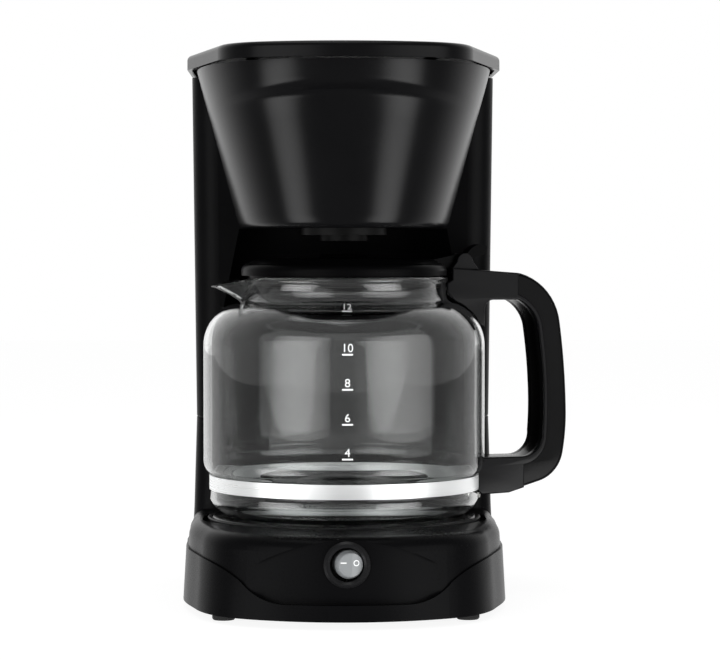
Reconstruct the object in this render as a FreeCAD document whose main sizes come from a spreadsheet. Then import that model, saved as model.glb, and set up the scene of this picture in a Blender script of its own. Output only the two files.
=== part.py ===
import FreeCAD, Part
import math
import os
import re

import Sketcher
from FreeCAD import Placement, Rotation, Vector

# Drip coffee maker for twelve cups, in millimetres and degrees.
# The origin is on the table at the middle of the footprint: +X right, +Y back, +Z up.
DIMENSIONS = {
    # levels of the whole machine
    "foot_height": 4,
    "deck_z": 46,
    "parting_z": 97,
    "parting_gap": 0.8,
    "parting_step": 1.1,
    "hopper_z": 202,
    "tower_top": 286,
    "lid_z": 288,
    "top_z": 296,
    "back_y": 114,
    "axis_y": -11,
    "wall_thick": 2.5,
    # base plan: a shallow round nose, two corner arcs and tapering flanks
    "base_front": -125,
    "base_half": 86.8,
    "base_nose": 104,
    "base_corner": 50,
    "base_nose_angle": 30,
    "base_taper": 7.5,
    "base_draft": 3.2,
    "rear_round": 18,
    "deck_thick": 5,
    "deck_round": 8,
    # skirt round the foot of the base: its upper edge dips in the middle of the front
    "skirt_step": 1.2,
    "crease_low": 12.3,
    "crease_side": 32.4,
    "crease_in": 30,
    "crease_turn": 53.5,
    "crease_out": 80,
    "crease_dip": 29,
    "crease_crown": 46,
    # almond recess between the skirt and the shoulders, with the switch in it
    "lens_half": 60,
    "lens_z": 21.6,
    "lens_radius": 90.3,
    "lens_depth": 2.6,
    "lens_wall": 2.8,
    "switch_z": 32.4,
    "bezel_radius": 11.8,
    "bezel_bore": 8.6,
    "rocker_radius": 7.4,
    "rocker_tilt": 7,
    # tower column and the bay for the carafe
    "cheek_y": 28,
    "cheek_round": 14,
    "tower_half_low": 81.7,
    "tower_half_top": 84,
    "bay_radius": 80,
    "bay_knee_z": 140,
    "bay_top_radius": 69.5,
    "tank_gap": 0.8,
    "tank_wall": 2,
    "tank_z": 104,
    "tank_top": 278,
    "hose_x": 45,
    "hose_y": 92,
    # hopper sections, from the rim down to the floor
    "rim_front": -107,
    "rim_nose": 113.8,
    "rim_corner": 35.8,
    "rim_angle": 21,
    "rim_taper": 8.5,
    "rim_top": 287.4,
    "ledge_z": 277,
    "ledge_inset": 1.8,
    "ledge_taper": 7.9,
    "bowl_z": 271,
    "bowl_front": -96.5,
    "bowl_nose": 150,
    "bowl_corner": 30,
    "bowl_angle": 17,
    "bowl_taper": 5,
    "floor_front": -82,
    "floor_nose": 130,
    "floor_corner": 22,
    "floor_taper": 0.5,
    "floor_round": 3,
    "flange_low": 56.6,
    "flange_mid": 75.3,
    "flange_top": 80.3,
    "flange_thick": 2.4,
    # top lid and its hinge
    "lid_front": -111,
    "lid_nose": 117,
    "lid_corner": 39,
    "lid_angle": 21,
    "lid_taper": 13.5,
    "lid_half": 85,
    "lid_back": 113,
    "lid_edge_round": 3,
    "hinge_y": 109,
    "hinge_z": 291,
    "hinge_x": 52,
    "barrel_radius": 3.9,
    "lug_width": 8,
    "lug_gap": 0.4,
    "pin_radius": 1.6,
    "pin_length": 22,
    "running_gap": 0.05,
    # brew basket and drip valve
    "basket_y": -27,
    "basket_z": 207,
    "basket_top": 274,
    "basket_half_low": 37,
    "basket_half_top": 50,
    "basket_wall": 2,
    "nozzle_radius": 13,
    "nozzle_z": 195.2,
    "boss_radius": 23,
    "boss_z": 198.4,
    "stem_radius": 2.5,
    "valve_tip": 194.7,
    "valve_lift": 4,
    # carafe
    "glass_radius": 76,
    "glass_wall": 2.3,
    "glass_z": 47.3,
    "dish_height": 5,
    "foot_radius": 72.6,
    "waist_radius": 72,
    "waist_z": 61.5,
    "waist_top": 69.3,
    "side_z": 77,
    "shoulder_z": 139,
    "neck_radius": 55,
    "rim_z": 176,
    "handle_turn": 18,
    "handle_thick": 23,
    "grip_out": 127.4,
    "grip_in": 112.2,
    "channel_depth": 2.2,
    "lid_hinge_r": 67,
    "lid_hinge_z": 184,
    # warming plate and heater
    "plate_radius": 71.3,
    "plate_z": 47,
    "seal_radius": 73.6,
    "recess_radius": 74.2,
    "recess_z": 43.5,
    "heater_out": 55,
    "heater_in": 35,
    "heater_leg": 41,
    "heater_z": 32,
    "heater_top": 44.9,
    "stub_radius": 5,
    "stub_z": 32.5,
    "hose_radius": 6.6,
}

doc = FreeCAD.newDocument("drip_coffee_maker")
sheet = doc.addObject("Spreadsheet::Sheet", "dims")
for row, (alias, size) in enumerate(DIMENSIONS.items(), 1):
    sheet.set(f"A{row}", alias)
    sheet.set(f"B{row}", str(size))
    sheet.setAlias(f"B{row}", alias)
doc.recompute()

X_AXIS = Vector(1, 0, 0)
Y_AXIS = Vector(0, 1, 0)
Z_AXIS = Vector(0, 0, 1)

nodes = {}
ALIAS_WORD = re.compile(r"[a-z]+(?:_[a-z]+)+")


def bind(text):
    """The expression with every dimension's name pointing at the sheet."""
    return ALIAS_WORD.sub(r"dims.\g<0>", str(text))


def number(text):
    return float(sheet.evalExpression(bind(text)))


def minus(text):
    return f"-({text})"


def keep(label, piece):
    """Give a finished sub-part the name that its file gets."""
    piece.Label = label
    nodes[label] = piece
    return piece


# Helpers for bodies, sketches and features

def new_body(name):
    return doc.addObject("PartDesign::Body", name)


def place(piece, x="0", y="0", z="0", axis=None, angle=0):
    if axis is not None:
        piece.Placement = Placement(Vector(), Rotation(axis, angle))
    for letter, text in zip("xyz", (x, y, z)):
        piece.setExpression(f"Placement.Base.{letter}", bind(text))
    return piece


def new_sketch(body, plane="XY_Plane", height="0"):
    sketch = body.newObject("Sketcher::SketchObject", body.Name + "_sketch")
    support = next(p for p in body.Origin.OriginFeatures if p.Role == plane)
    sketch.AttachmentSupport = [(support, "")]
    sketch.MapMode = "FlatFace"
    sketch.setExpression("AttachmentOffset.Base.z", bind(height))
    return sketch


def constrain(sketch, kind, *items):
    """One constraint; a dimension's last item is the expression that drives it."""
    if kind in ("Coincident", "PointOnObject"):
        sketch.addConstraint(Sketcher.Constraint(kind, *items))
        return
    index = sketch.addConstraint(Sketcher.Constraint(kind, *items[:-1], number(items[-1])))
    sketch.setExpression(f"Constraints[{index}]", bind(items[-1]))


def pin_point(sketch, geometry, end, x, y):
    for text, kind, axis in ((x, "DistanceX", -2), (y, "DistanceY", -1)):
        if abs(number(text)) < 1e-9:
            constrain(sketch, "PointOnObject", geometry, end, axis)
        else:
            constrain(sketch, kind, -1, 1, geometry, end, text)


def arc_between(start, end, radius):
    """Arc of less than half a turn; a positive radius turns left, a negative one right."""
    middle = (start + end) * 0.5
    half = (end - start) * 0.5
    side = Vector(-half.y, half.x, 0).normalize()
    rise = math.sqrt(radius * radius - half.Length ** 2)
    centre = middle + side * math.copysign(rise, radius)
    first, last = (start, end) if radius > 0 else (end, start)
    angles = [math.atan2(p.y - centre.y, p.x - centre.x) for p in (first, last)]
    ring = Part.Circle(centre, Vector(0, 0, 1), abs(radius))
    return Part.ArcOfCircle(ring, angles[0], angles[1])


def outline(sketch, corners):
    """Closed outline; a corner's third item is the radius of the arc to the next corner."""
    points = [Vector(number(c[0]), number(c[1]), 0) for c in corners]
    ends = []
    for index, corner in enumerate(corners):
        start, end = points[index], points[(index + 1) % len(points)]
        if len(corner) == 3:
            radius = number(corner[2])
            geometry = sketch.addGeometry(arc_between(start, end, radius))
            ends.append((geometry, 1, 2) if radius > 0 else (geometry, 2, 1))
        else:
            geometry = sketch.addGeometry(Part.LineSegment(start, end))
            ends.append((geometry, 1, 2))
    for index, (geometry, start, _) in enumerate(ends):
        before, _, last = ends[index - 1]
        constrain(sketch, "Coincident", before, last, geometry, start)
    for (geometry, start, _), corner in zip(ends, corners):
        pin_point(sketch, geometry, start, corner[0], corner[1])
        if len(corner) == 3:
            constrain(sketch, "Radius", geometry, f"abs({corner[2]})")
    return sketch


def circle(sketch, x, y, radius):
    centre = Vector(number(x), number(y), 0)
    ring = Part.Circle(centre, Vector(0, 0, 1), number(radius))
    geometry = sketch.addGeometry(ring)
    pin_point(sketch, geometry, 3, x, y)
    constrain(sketch, "Radius", geometry, radius)
    return sketch


def pad(body, sketch, length, midplane=False, backward=False, pocket=False, taper="0"):
    kind = "PartDesign::Pocket" if pocket else "PartDesign::Pad"
    feature = body.newObject(kind, body.Name + "_pad")
    feature.Profile = sketch
    feature.setExpression("Length", bind(length))
    feature.setExpression("TaperAngle", bind(taper))
    feature.Midplane = midplane
    feature.Reversed = backward
    return feature


def loft(body, *sketches):
    feature = body.newObject("PartDesign::AdditiveLoft", body.Name + "_loft")
    feature.Profile = sketches[0]
    feature.Sections = list(sketches[1:])
    feature.Ruled = True
    return feature


def revolve(name, corners):
    """Body turned about the Z axis from an outline of radius and height."""
    body = new_body(name)
    sketch = outline(new_sketch(body, "XZ_Plane"), corners)
    feature = body.newObject("PartDesign::Revolution", name + "_turn")
    feature.Profile = sketch
    feature.ReferenceAxis = (sketch, ["V_Axis"])
    feature.Angle = 360
    return body


def round_edges(body, radius, chosen):
    """Fillet the edges of the body's last feature that the test picks out."""
    doc.recompute()
    last = body.Tip
    names = [f"Edge{i}" for i, edge in enumerate(last.Shape.Edges, 1) if chosen(edge)]
    feature = body.newObject("PartDesign::Fillet", body.Name + "_round")
    feature.Base = (last, names)
    feature.setExpression("Radius", bind(radius))
    return feature


def cut(name, base, *tools):
    for index, tool in enumerate(tools):
        result = doc.addObject("Part::Cut", f"{name}_cut{index}")
        result.Base = base
        result.Tool = tool
        base = result
    return base


def overlap(name, base, tool):
    result = doc.addObject("Part::Common", name)
    result.Base = base
    result.Tool = tool
    return result


def fuse(name, *pieces):
    result = doc.addObject("Part::MultiFuse", name)
    result.Shapes = list(pieces)
    return result


def cylinder(name, radius, height, x="0", y="0", z="0", axis=None, angle=0):
    piece = doc.addObject("Part::Cylinder", name)
    piece.setExpression("Radius", bind(radius))
    piece.setExpression("Height", bind(height))
    return place(piece, x, y, z, axis, angle)


def box(name, sizes, corner):
    piece = doc.addObject("Part::Box", name)
    for side, text in zip(("Length", "Width", "Height"), sizes):
        piece.setExpression(side, bind(text))
    return place(piece, *corner)


def group(label, source, spots, lying=()):
    """One node of equal solids: copies of the source at the spots, upright or laid along Y."""
    doc.recompute()
    turns = [(spot, Rotation()) for spot in spots]
    turns += [(spot, Rotation(X_AXIS, -90)) for spot in lying]
    copies = []
    for spot, turn in turns:
        shape = source.Shape.copy()
        shift = Placement(Vector(*(number(v) for v in spot)), turn)
        shape.Placement = shift.multiply(shape.Placement)
        copies.append(shape)
    piece = doc.addObject("Part::Feature", label)
    piece.Shape = Part.makeCompound(copies)
    return keep(label, piece)


# Plan outlines shared by the shells

def nose_points(front, nose, corner, angle, taper):
    """Right-hand ends of a round nose and of the corner arc beside it."""
    offset = f"(({nose}) - ({corner}))"
    centre_x = f"{offset} * sin({angle})"
    centre_y = f"({front}) + ({nose}) - {offset} * cos({angle})"
    nose_end = (f"({nose}) * sin({angle})", f"({front}) + ({nose}) * (1 - cos({angle}))")
    corner_end = (f"{centre_x} + ({corner}) * cos({taper})",
                  f"{centre_y} - ({corner}) * sin({taper})")
    return nose_end, corner_end


def base_plan(inset):
    """Outline of the base, drawn in by the inset on every side."""
    nose = f"(base_nose - ({inset}))"
    corner = f"(base_corner - ({inset}))"
    half = f"(base_half - ({inset}))"
    turn = f"(rear_round - ({inset}))"
    back = f"(back_y - ({inset}))"
    (nx, ny), (ex, ey) = nose_points(f"base_front + ({inset})", nose, corner,
                                     "base_nose_angle", "base_taper")
    flank_y = f"{ey} + ({half} - ({ex})) / tan(base_taper)"
    return [(minus(nx), ny, nose), (nx, ny, corner), (ex, ey), (half, flank_y),
            (half, f"{back} - {turn}", turn), (f"{half} - {turn}", back),
            (minus(f"{half} - {turn}"), back, turn), (minus(half), f"{back} - {turn}"),
            (minus(half), flank_y), (minus(ex), ey, corner)]


def column_plan(half_width, inset):
    """Outline of the tower column: flat front, round corners, drawn in by the inset."""
    half = f"({half_width} - ({inset}))"
    front = f"(cheek_y + ({inset}))"
    back = f"(back_y - ({inset}))"
    near = f"(cheek_round - ({inset}))"
    far = f"(rear_round - ({inset}))"
    return [(minus(f"{half} - {near}"), front), (f"{half} - {near}", front, near),
            (half, f"{front} + {near}"), (half, f"{back} - {far}", far),
            (f"{half} - {far}", back), (minus(f"{half} - {far}"), back, far),
            (minus(half), f"{back} - {far}"), (minus(half), f"{front} + {near}", near)]


def hopper_plan(front, nose, corner, angle, taper, inset, rear):
    """U-shaped outline of the hopper, open or flat at the rear line."""
    nose = f"({nose} - ({inset}))"
    corner = f"({corner} - ({inset}))"
    (nx, ny), (ex, ey) = nose_points(f"{front} + ({inset})", nose, corner, angle, taper)
    rear_half = f"{ex} + ({rear} - ({ey})) * tan({taper})"
    return [(minus(nx), ny, nose), (nx, ny, corner), (ex, ey), (rear_half, rear),
            (minus(rear_half), rear), (minus(ex), ey, corner)]


def column(name, inset, low, high, high_half="tower_half_top"):
    body = new_body(name)
    first = outline(new_sketch(body, height=low), column_plan("tower_half_low", inset))
    last = outline(new_sketch(body, height=high), column_plan(high_half, inset))
    loft(body, first, last)
    return body


def bay_turn(name, skin, low="deck_z"):
    """Turned hollow that the carafe stands in, grown by a skin."""
    radius = f"bay_radius + ({skin})"
    top = f"bay_top_radius + ({skin})"
    high = f"hopper_z + ({skin})"
    body = revolve(name, [("0", low), (radius, low), (radius, "bay_knee_z"),
                          (top, high), ("0", high)])
    return place(body, y="axis_y")


# Base shell: drafted housing, open below, and the hollow riser that stands on it behind the bay

SCREW_SPOTS = [("72", "-40"), ("-72", "-40"), ("75", "88"), ("-75", "88")]
FOOT_SPOTS = [("63", "-83", "0"), ("-63", "-83", "0"), ("66", "98", "0"), ("-66", "98", "0")]


def nose_radius(inset, height):
    """Radius of the drafted nose, drawn in by the inset, at a height."""
    return f"(base_nose - ({inset}) - (({height}) - foot_height) * tan(base_draft))"


def switch_seat_y():
    return f"base_front + base_nose - {nose_radius('skirt_step + lens_depth', 'switch_z')} + 1"


def drafted(name, inset, low, height):
    """Plan of the base pulled up with the draft of its walls."""
    body = new_body(name)
    pad(body, outline(new_sketch(body, height=low), base_plan(inset)), height, taper="-base_draft")
    return body


def make_skirt():
    """Full base plan up to a crease: level at the sides, dipping through two bends at the front."""
    skirt = drafted("skirt_solid", "0", "foot_height", "crease_side - foot_height + 4")
    above = new_body("skirt_dip")
    turn_z = "(crease_low + crease_side) / 2"
    outline(new_sketch(above, "XZ_Plane", "0"), [
        ("-crease_in", "crease_low"), ("crease_in", "crease_low", "crease_dip"),
        ("crease_turn", turn_z, "-crease_crown"), ("crease_out", "crease_side"),
        ("2 * base_half", "crease_side"), ("2 * base_half", "parting_z"),
        ("-2 * base_half", "parting_z"), ("-2 * base_half", "crease_side"),
        ("-crease_out", "crease_side", "-crease_crown"), ("-crease_turn", turn_z, "crease_dip")])
    pad(above, above.Group[-1], "-2 * base_front")
    level = box("skirt_level", ("4 * base_half", "3 * back_y", "parting_z"),
                ("-2 * base_half", "-1.5 * back_y", "crease_side"))
    return cut("skirt", skirt, above, level)


def make_base_shell():
    sides = "skirt_step"
    upper = drafted("base_upper", sides, "foot_height", "deck_z - foot_height")
    deck = number("deck_z")
    round_edges(upper, "deck_round", lambda e: e.BoundBox.ZMin > deck - 0.01)
    almond = new_body("lens_tool")
    pad(almond, outline(new_sketch(almond, "XZ_Plane", "-base_front - 14"), [
        ("-lens_half", "foot_height"), ("lens_half", "foot_height"),
        ("lens_half", "lens_z", "lens_radius"), ("-lens_half", "lens_z")]), "30")
    lens_floor = drafted("lens_floor", "skirt_step + lens_depth", "foot_height", "deck_z - foot_height")
    lens = cut("lens_cut", almond, lens_floor)
    riser = new_body("riser")
    deck_half = "base_half - skirt_step - (deck_z - foot_height) * tan(base_draft)"
    loft(riser, outline(new_sketch(riser, height="foot_height"),
                        column_plan("(base_half - skirt_step)", "0")),
         outline(new_sketch(riser, height="deck_z"), column_plan(f"({deck_half})", "0")),
         outline(new_sketch(riser, height="parting_z"), column_plan("tower_half_low", "0")))
    solid = fuse("base_solid", cut("base_upper", upper, lens), make_skirt(), riser)

    wall = f"wall_thick + {sides}"
    cavity = drafted("base_cavity", wall, "foot_height - 1", "deck_z - deck_thick - foot_height + 1")
    block = box("lens_block", ("2 * lens_half + 14", "40", "deck_z"),
                ("-lens_half - 7", "base_front - 4", "foot_height + 3"))
    behind = drafted("lens_behind", "skirt_step + lens_depth + lens_wall", "foot_height",
                     "deck_z - foot_height")
    hollow = cut("base_hollow", cavity, cut("lens_backing", block, behind))
    chimney = column("riser_cavity", "wall_thick", "deck_z - deck_thick - 3", "parting_z + 1",
                     "tower_half_low")
    chimney = cut("riser_hollow", chimney, bay_turn("riser_skin", "wall_thick", "foot_height"))
    seat_y = switch_seat_y()
    seat = cylinder("switch_seat", "bezel_radius + 0.1", "30", y=seat_y, z="switch_z",
                    axis=X_AXIS, angle=90)
    hole = cylinder("switch_hole", "bezel_radius - 1.2", "60", y=f"{seat_y} + 26", z="switch_z",
                    axis=X_AXIS, angle=90)
    recess = cylinder("plate_recess", "recess_radius", "30", y="axis_y", z="recess_z")
    well = cylinder("plate_well", "recess_radius - 4.5", "60", y="axis_y", z="heater_z")
    gland = cylinder("gland_hole", "7.1", "40", x="-52", y="back_y + 10", z="22",
                     axis=X_AXIS, angle=90)
    gland_pocket = cylinder("gland_pocket", "9.2", "20", x="-52", y="back_y - 3.1", z="22",
                            axis=X_AXIS, angle=90)
    shell = cut("base", solid, bay_turn("base_bay", "0"), hollow, chimney, seat, hole, recess, well,
                gland, gland_pocket)
    post_height = "deck_z - deck_thick - foot_height - 2"
    posts = [cylinder(f"screw_post{i}", "4.5", post_height, x=x, y=y, z="foot_height + 2.9")
             for i, (x, y) in enumerate(SCREW_SPOTS)]
    bores = [cylinder(f"screw_bore{i}", "1.5", "14", x=x, y=y, z="foot_height + 2")
             for i, (x, y) in enumerate(SCREW_SPOTS)]
    whole = cut("base_posts", fuse("base_fused", shell, *posts), *bores)
    above = box("above_deck", ("4 * base_half", "3 * back_y", "parting_z"),
                ("-2 * base_half", "-1.5 * back_y", "deck_z"))
    keep("base_shell", cut("base_lower", whole, above))
    keep("riser_shell", overlap("riser_upper", whole, above))


def make_base_bottom():
    plate = new_body("bottom_plate")
    sketch = new_sketch(plate, height="foot_height + 0.8")
    outline(sketch, base_plan("wall_thick + skirt_step + 0.6"))
    for x, y in SCREW_SPOTS:
        circle(sketch, x, y, "2")
    for x, y, _ in FOOT_SPOTS:
        circle(sketch, x, y, "2.6")
    pad(plate, sketch, "2")
    slots = new_sketch(plate, height="foot_height + 2.8")
    vent_half, vent_gap = 22, 9
    for row in range(7):
        y = row * vent_gap - 40
        outline(slots, [(str(-vent_half), str(y)), (str(vent_half), str(y)),
                        (str(vent_half), str(y + 3.5)), (str(-vent_half), str(y + 3.5))])
    pad(plate, slots, "4", pocket=True)
    keep("base_bottom_plate", plate)

    foot = revolve("foot", [("0", "0"), ("5.4", "0"), ("6", "0.8"), ("6", "foot_height + 0.75"),
                            ("2.5", "foot_height + 0.75"), ("2.5", "foot_height + 2.9"),
                            ("3.4", "foot_height + 3.2"), ("2", "foot_height + 5"),
                            ("0", "foot_height + 5")])
    group("rubber_feet", foot, FOOT_SPOTS)
    screw = revolve("bottom_screw", [("0", "foot_height - 1.2"), ("3", "foot_height - 0.9"),
                                     ("3.4", "foot_height + 0.75"), ("1.45", "foot_height + 0.75"),
                                     ("1.45", "foot_height + 11"), ("0", "foot_height + 12")])
    group("bottom_screws", screw, [(x, y, "0") for x, y in SCREW_SPOTS])


# Tower: outer column with the bay's concave wall, and the water tank inside it

def make_tower():
    outer = fuse("tower_solid", column("tower_outer", "0", "parting_z + parting_gap", "tower_top"),
                 column("tower_lip", "parting_step", "parting_z", "parting_z + 6", "tower_half_low"))
    inner = column("tower_inner", "wall_thick", "parting_z - 1", "tower_top + 1")
    hollow = cut("tower_hollow", inner, bay_turn("tower_skin", "wall_thick"))
    notch = box("shower_notch", ("34", "12", "40"), ("5", "cheek_y - 3", "basket_top - 2"))
    rear = box("hinge_notch", ("3 * tower_half_top", "20", "20"),
               ("-1.5 * tower_half_top", "hinge_y - 6", "hinge_z - 5.6"))
    shell = cut("tower", outer, bay_turn("tower_bay", "0"), hollow, notch, rear)
    lugs = []
    for side in (-1, 1):
        lug = new_body("hinge_lug")
        start = f"{side} * hinge_x - lug_width / 2"
        sketch = new_sketch(lug, "YZ_Plane", start)
        outline(sketch, [("hinge_y - 3.4", "hinge_z - 12"), ("hinge_y + 3.4", "hinge_z - 12"),
                         ("hinge_y + 3.4", "hinge_z", "3.4"), ("hinge_y", "hinge_z + 3.4", "3.4"),
                         ("hinge_y - 3.4", "hinge_z")])
        circle(sketch, "hinge_y", "hinge_z", "pin_radius + running_gap")
        pad(lug, sketch, "lug_width")
        lugs.append(lug)
    keep("tower_shell", fuse("tower_fused", shell, *lugs))


def make_tank():
    gap = "wall_thick + tank_gap"
    inside = f"{gap} + tank_wall"
    outer = cut("tank_body", column("tank_outer", gap, "tank_z", "tank_top"),
                bay_turn("tank_skin", gap))
    inner = cut("tank_space", column("tank_inner", inside, "tank_z + tank_wall", "tank_top + 1"),
                bay_turn("tank_liner", inside))
    notch = box("tank_notch", ("34", "14", "40"), ("5", "cheek_y", "basket_top - 2"))
    drain = cylinder("tank_drain", "4", "30", x="-hose_x", y="hose_y", z="tank_z - 20")
    nipple = cylinder("tank_nipple", "stub_radius", "16", x="-hose_x", y="hose_y", z="tank_z - 15.5")
    pass_hole = cylinder("riser_pass", "stub_radius + 2", "20", x="hose_x", y="hose_y",
                         z="tank_z - 10")
    tank = fuse("tank_with_nipple", cut("tank", outer, inner, notch), nipple)
    keep("water_reservoir", cut("tank_drilled", tank, drain, pass_hole))


# Hopper: drafted bowl under a flush rim, with a sloping crescent ledge between them

def hopper_body(name, inset, rear, floor_z, top_z):
    body = new_body(name)
    floor = ("floor_front", "floor_nose", "floor_corner", "bowl_angle", "floor_taper")
    bowl = ("bowl_front", "bowl_nose", "bowl_corner", "bowl_angle", "bowl_taper")
    ledge = ("rim_front + ledge_inset", "rim_nose - ledge_inset", "rim_corner - ledge_inset",
             "rim_angle", "ledge_taper")
    rim = ("rim_front", "rim_nose", "rim_corner", "rim_angle", "rim_taper")
    levels = [(floor_z, floor, f"{inset} + floor_round"),
              (f"{floor_z} + floor_round / 3", floor, f"{inset} + floor_round / 3"),
              (f"{floor_z} + floor_round", floor, inset),
              ("bowl_z", bowl, inset), ("ledge_z", ledge, inset), (top_z, rim, inset)]
    sketches = [outline(new_sketch(body, height=z), hopper_plan(*plan, offset, rear))
                for z, plan, offset in levels]
    loft(body, *sketches)
    return body


def make_hopper():
    outer = hopper_body("hopper_outer", "0", "cheek_y", "hopper_z", "rim_top")
    inner = hopper_body("hopper_inner", "wall_thick", "cheek_y + 2", "hopper_z + wall_thick",
                        "rim_top + 1")
    outlet = cylinder("basket_outlet", "boss_radius + 1", "30", y="axis_y", z="hopper_z - 10")
    flange = new_body("hopper_flange")
    sketch = new_sketch(flange, "XZ_Plane", "-cheek_y")
    outline(sketch, [
        ("-flange_low", "hopper_z + floor_round"), ("-flange_low + floor_round", "hopper_z"),
        ("flange_low - floor_round", "hopper_z"), ("flange_low", "hopper_z + floor_round"),
        ("flange_mid", "bowl_z"), ("flange_top", "tower_top"), ("-flange_top", "tower_top"),
        ("-flange_mid", "bowl_z")])
    pad(flange, sketch, "flange_thick")
    solid = fuse("hopper_solid", outer, flange)
    keep("hopper_shell", cut("hopper", solid, inner, outlet))


# Top lid: one shallow shell over hopper and tank, hinged along the back

def lid_plan(inset):
    nose = f"(lid_nose - ({inset}))"
    corner = f"(lid_corner - ({inset}))"
    half = f"(lid_half - ({inset}))"
    turn = "(rear_round - 4)"
    back = f"(lid_back - ({inset}))"
    (nx, ny), (ex, ey) = nose_points(f"lid_front + ({inset})", nose, corner,
                                     "lid_angle", "lid_taper")
    ear_y = f"{ey} + ({half} - ({ex})) / tan(lid_taper)"
    return [(minus(nx), ny, nose), (nx, ny, corner), (ex, ey), (half, ear_y),
            (half, f"{back} - {turn}", turn), (f"{half} - {turn}", back),
            (minus(f"{half} - {turn}"), back, turn), (minus(half), f"{back} - {turn}"),
            (minus(half), ear_y), (minus(ex), ey, corner)]


def make_top_lid():
    lid = new_body("lid_outer")
    pad(lid, outline(new_sketch(lid, height="lid_z"), lid_plan("0")), "top_z - lid_z")
    top = number("top_z")
    round_edges(lid, "lid_edge_round", lambda e: e.BoundBox.ZMin > top - 0.01)
    under = new_body("lid_under")
    pad(under, outline(new_sketch(under, height="lid_z - 1"), lid_plan("wall_thick")),
        "top_z - lid_z - wall_thick + 1")
    rear = box("lid_rear_cut", ("3 * lid_half", "30", "20"),
               ("-1.5 * lid_half", "hinge_y", "lid_z - 10"))
    barrel = cylinder("lid_barrel", "barrel_radius", "2 * hinge_x + 40", x="-hinge_x - 20",
                      y="hinge_y", z="hinge_z", axis=Y_AXIS, angle=90)
    shell = fuse("lid_with_barrel", cut("lid", lid, under), barrel)
    gaps = []
    for side in (-1, 1):
        gaps.append(box("lug_slot", ("lug_width + 2 * lug_gap", "20", "20"),
                        (f"{side} * hinge_x - lug_width / 2 - lug_gap", "hinge_y - 4.2",
                         "hinge_z - 10")))
    bore = cylinder("lid_bore", "pin_radius", "4 * hinge_x", x="-2 * hinge_x", y="hinge_y",
                    z="hinge_z", axis=Y_AXIS, angle=90)
    keep("top_lid", cut("lid_finished", shell, *gaps, bore))
    pin = cylinder("hinge_pin", "pin_radius", "pin_length", x="-pin_length / 2", y="hinge_y",
                   z="hinge_z", axis=Y_AXIS, angle=90)
    group("lid_hinge_pins", pin, [("hinge_x", "0", "0"), ("-hinge_x", "0", "0")])


# Warming plate, its seal and the heater under it

def make_warming_plate():
    plate = revolve("plate", [
        ("0", "plate_z - 0.5"), ("plate_radius - 9", "plate_z - 0.5"), ("plate_radius - 7", "plate_z"),
        ("plate_radius - 1", "plate_z"), ("plate_radius", "plate_z - 1"),
        ("plate_radius", "recess_z + 0.4"), ("plate_radius - 1.2", "recess_z + 0.4"),
        ("plate_radius - 1.2", "plate_z - 1.4"), ("plate_radius - 7", "plate_z - 1.2"),
        ("plate_radius - 9", "plate_z - 1.7"), ("0", "plate_z - 1.7")])
    keep("warming_plate", place(plate, y="axis_y"))
    seal = revolve("seal", [
        ("plate_radius - 2.5", "recess_z"), ("seal_radius", "recess_z"),
        ("seal_radius", "deck_z + 0.2"), ("seal_radius - 0.6", "deck_z + 0.6"),
        ("plate_radius + 0.2", "deck_z + 0.6"), ("plate_radius + 0.2", "recess_z + 0.3"),
        ("plate_radius - 2.5", "recess_z + 0.3")])
    keep("plate_seal_ring", place(seal, y="axis_y"))


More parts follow.
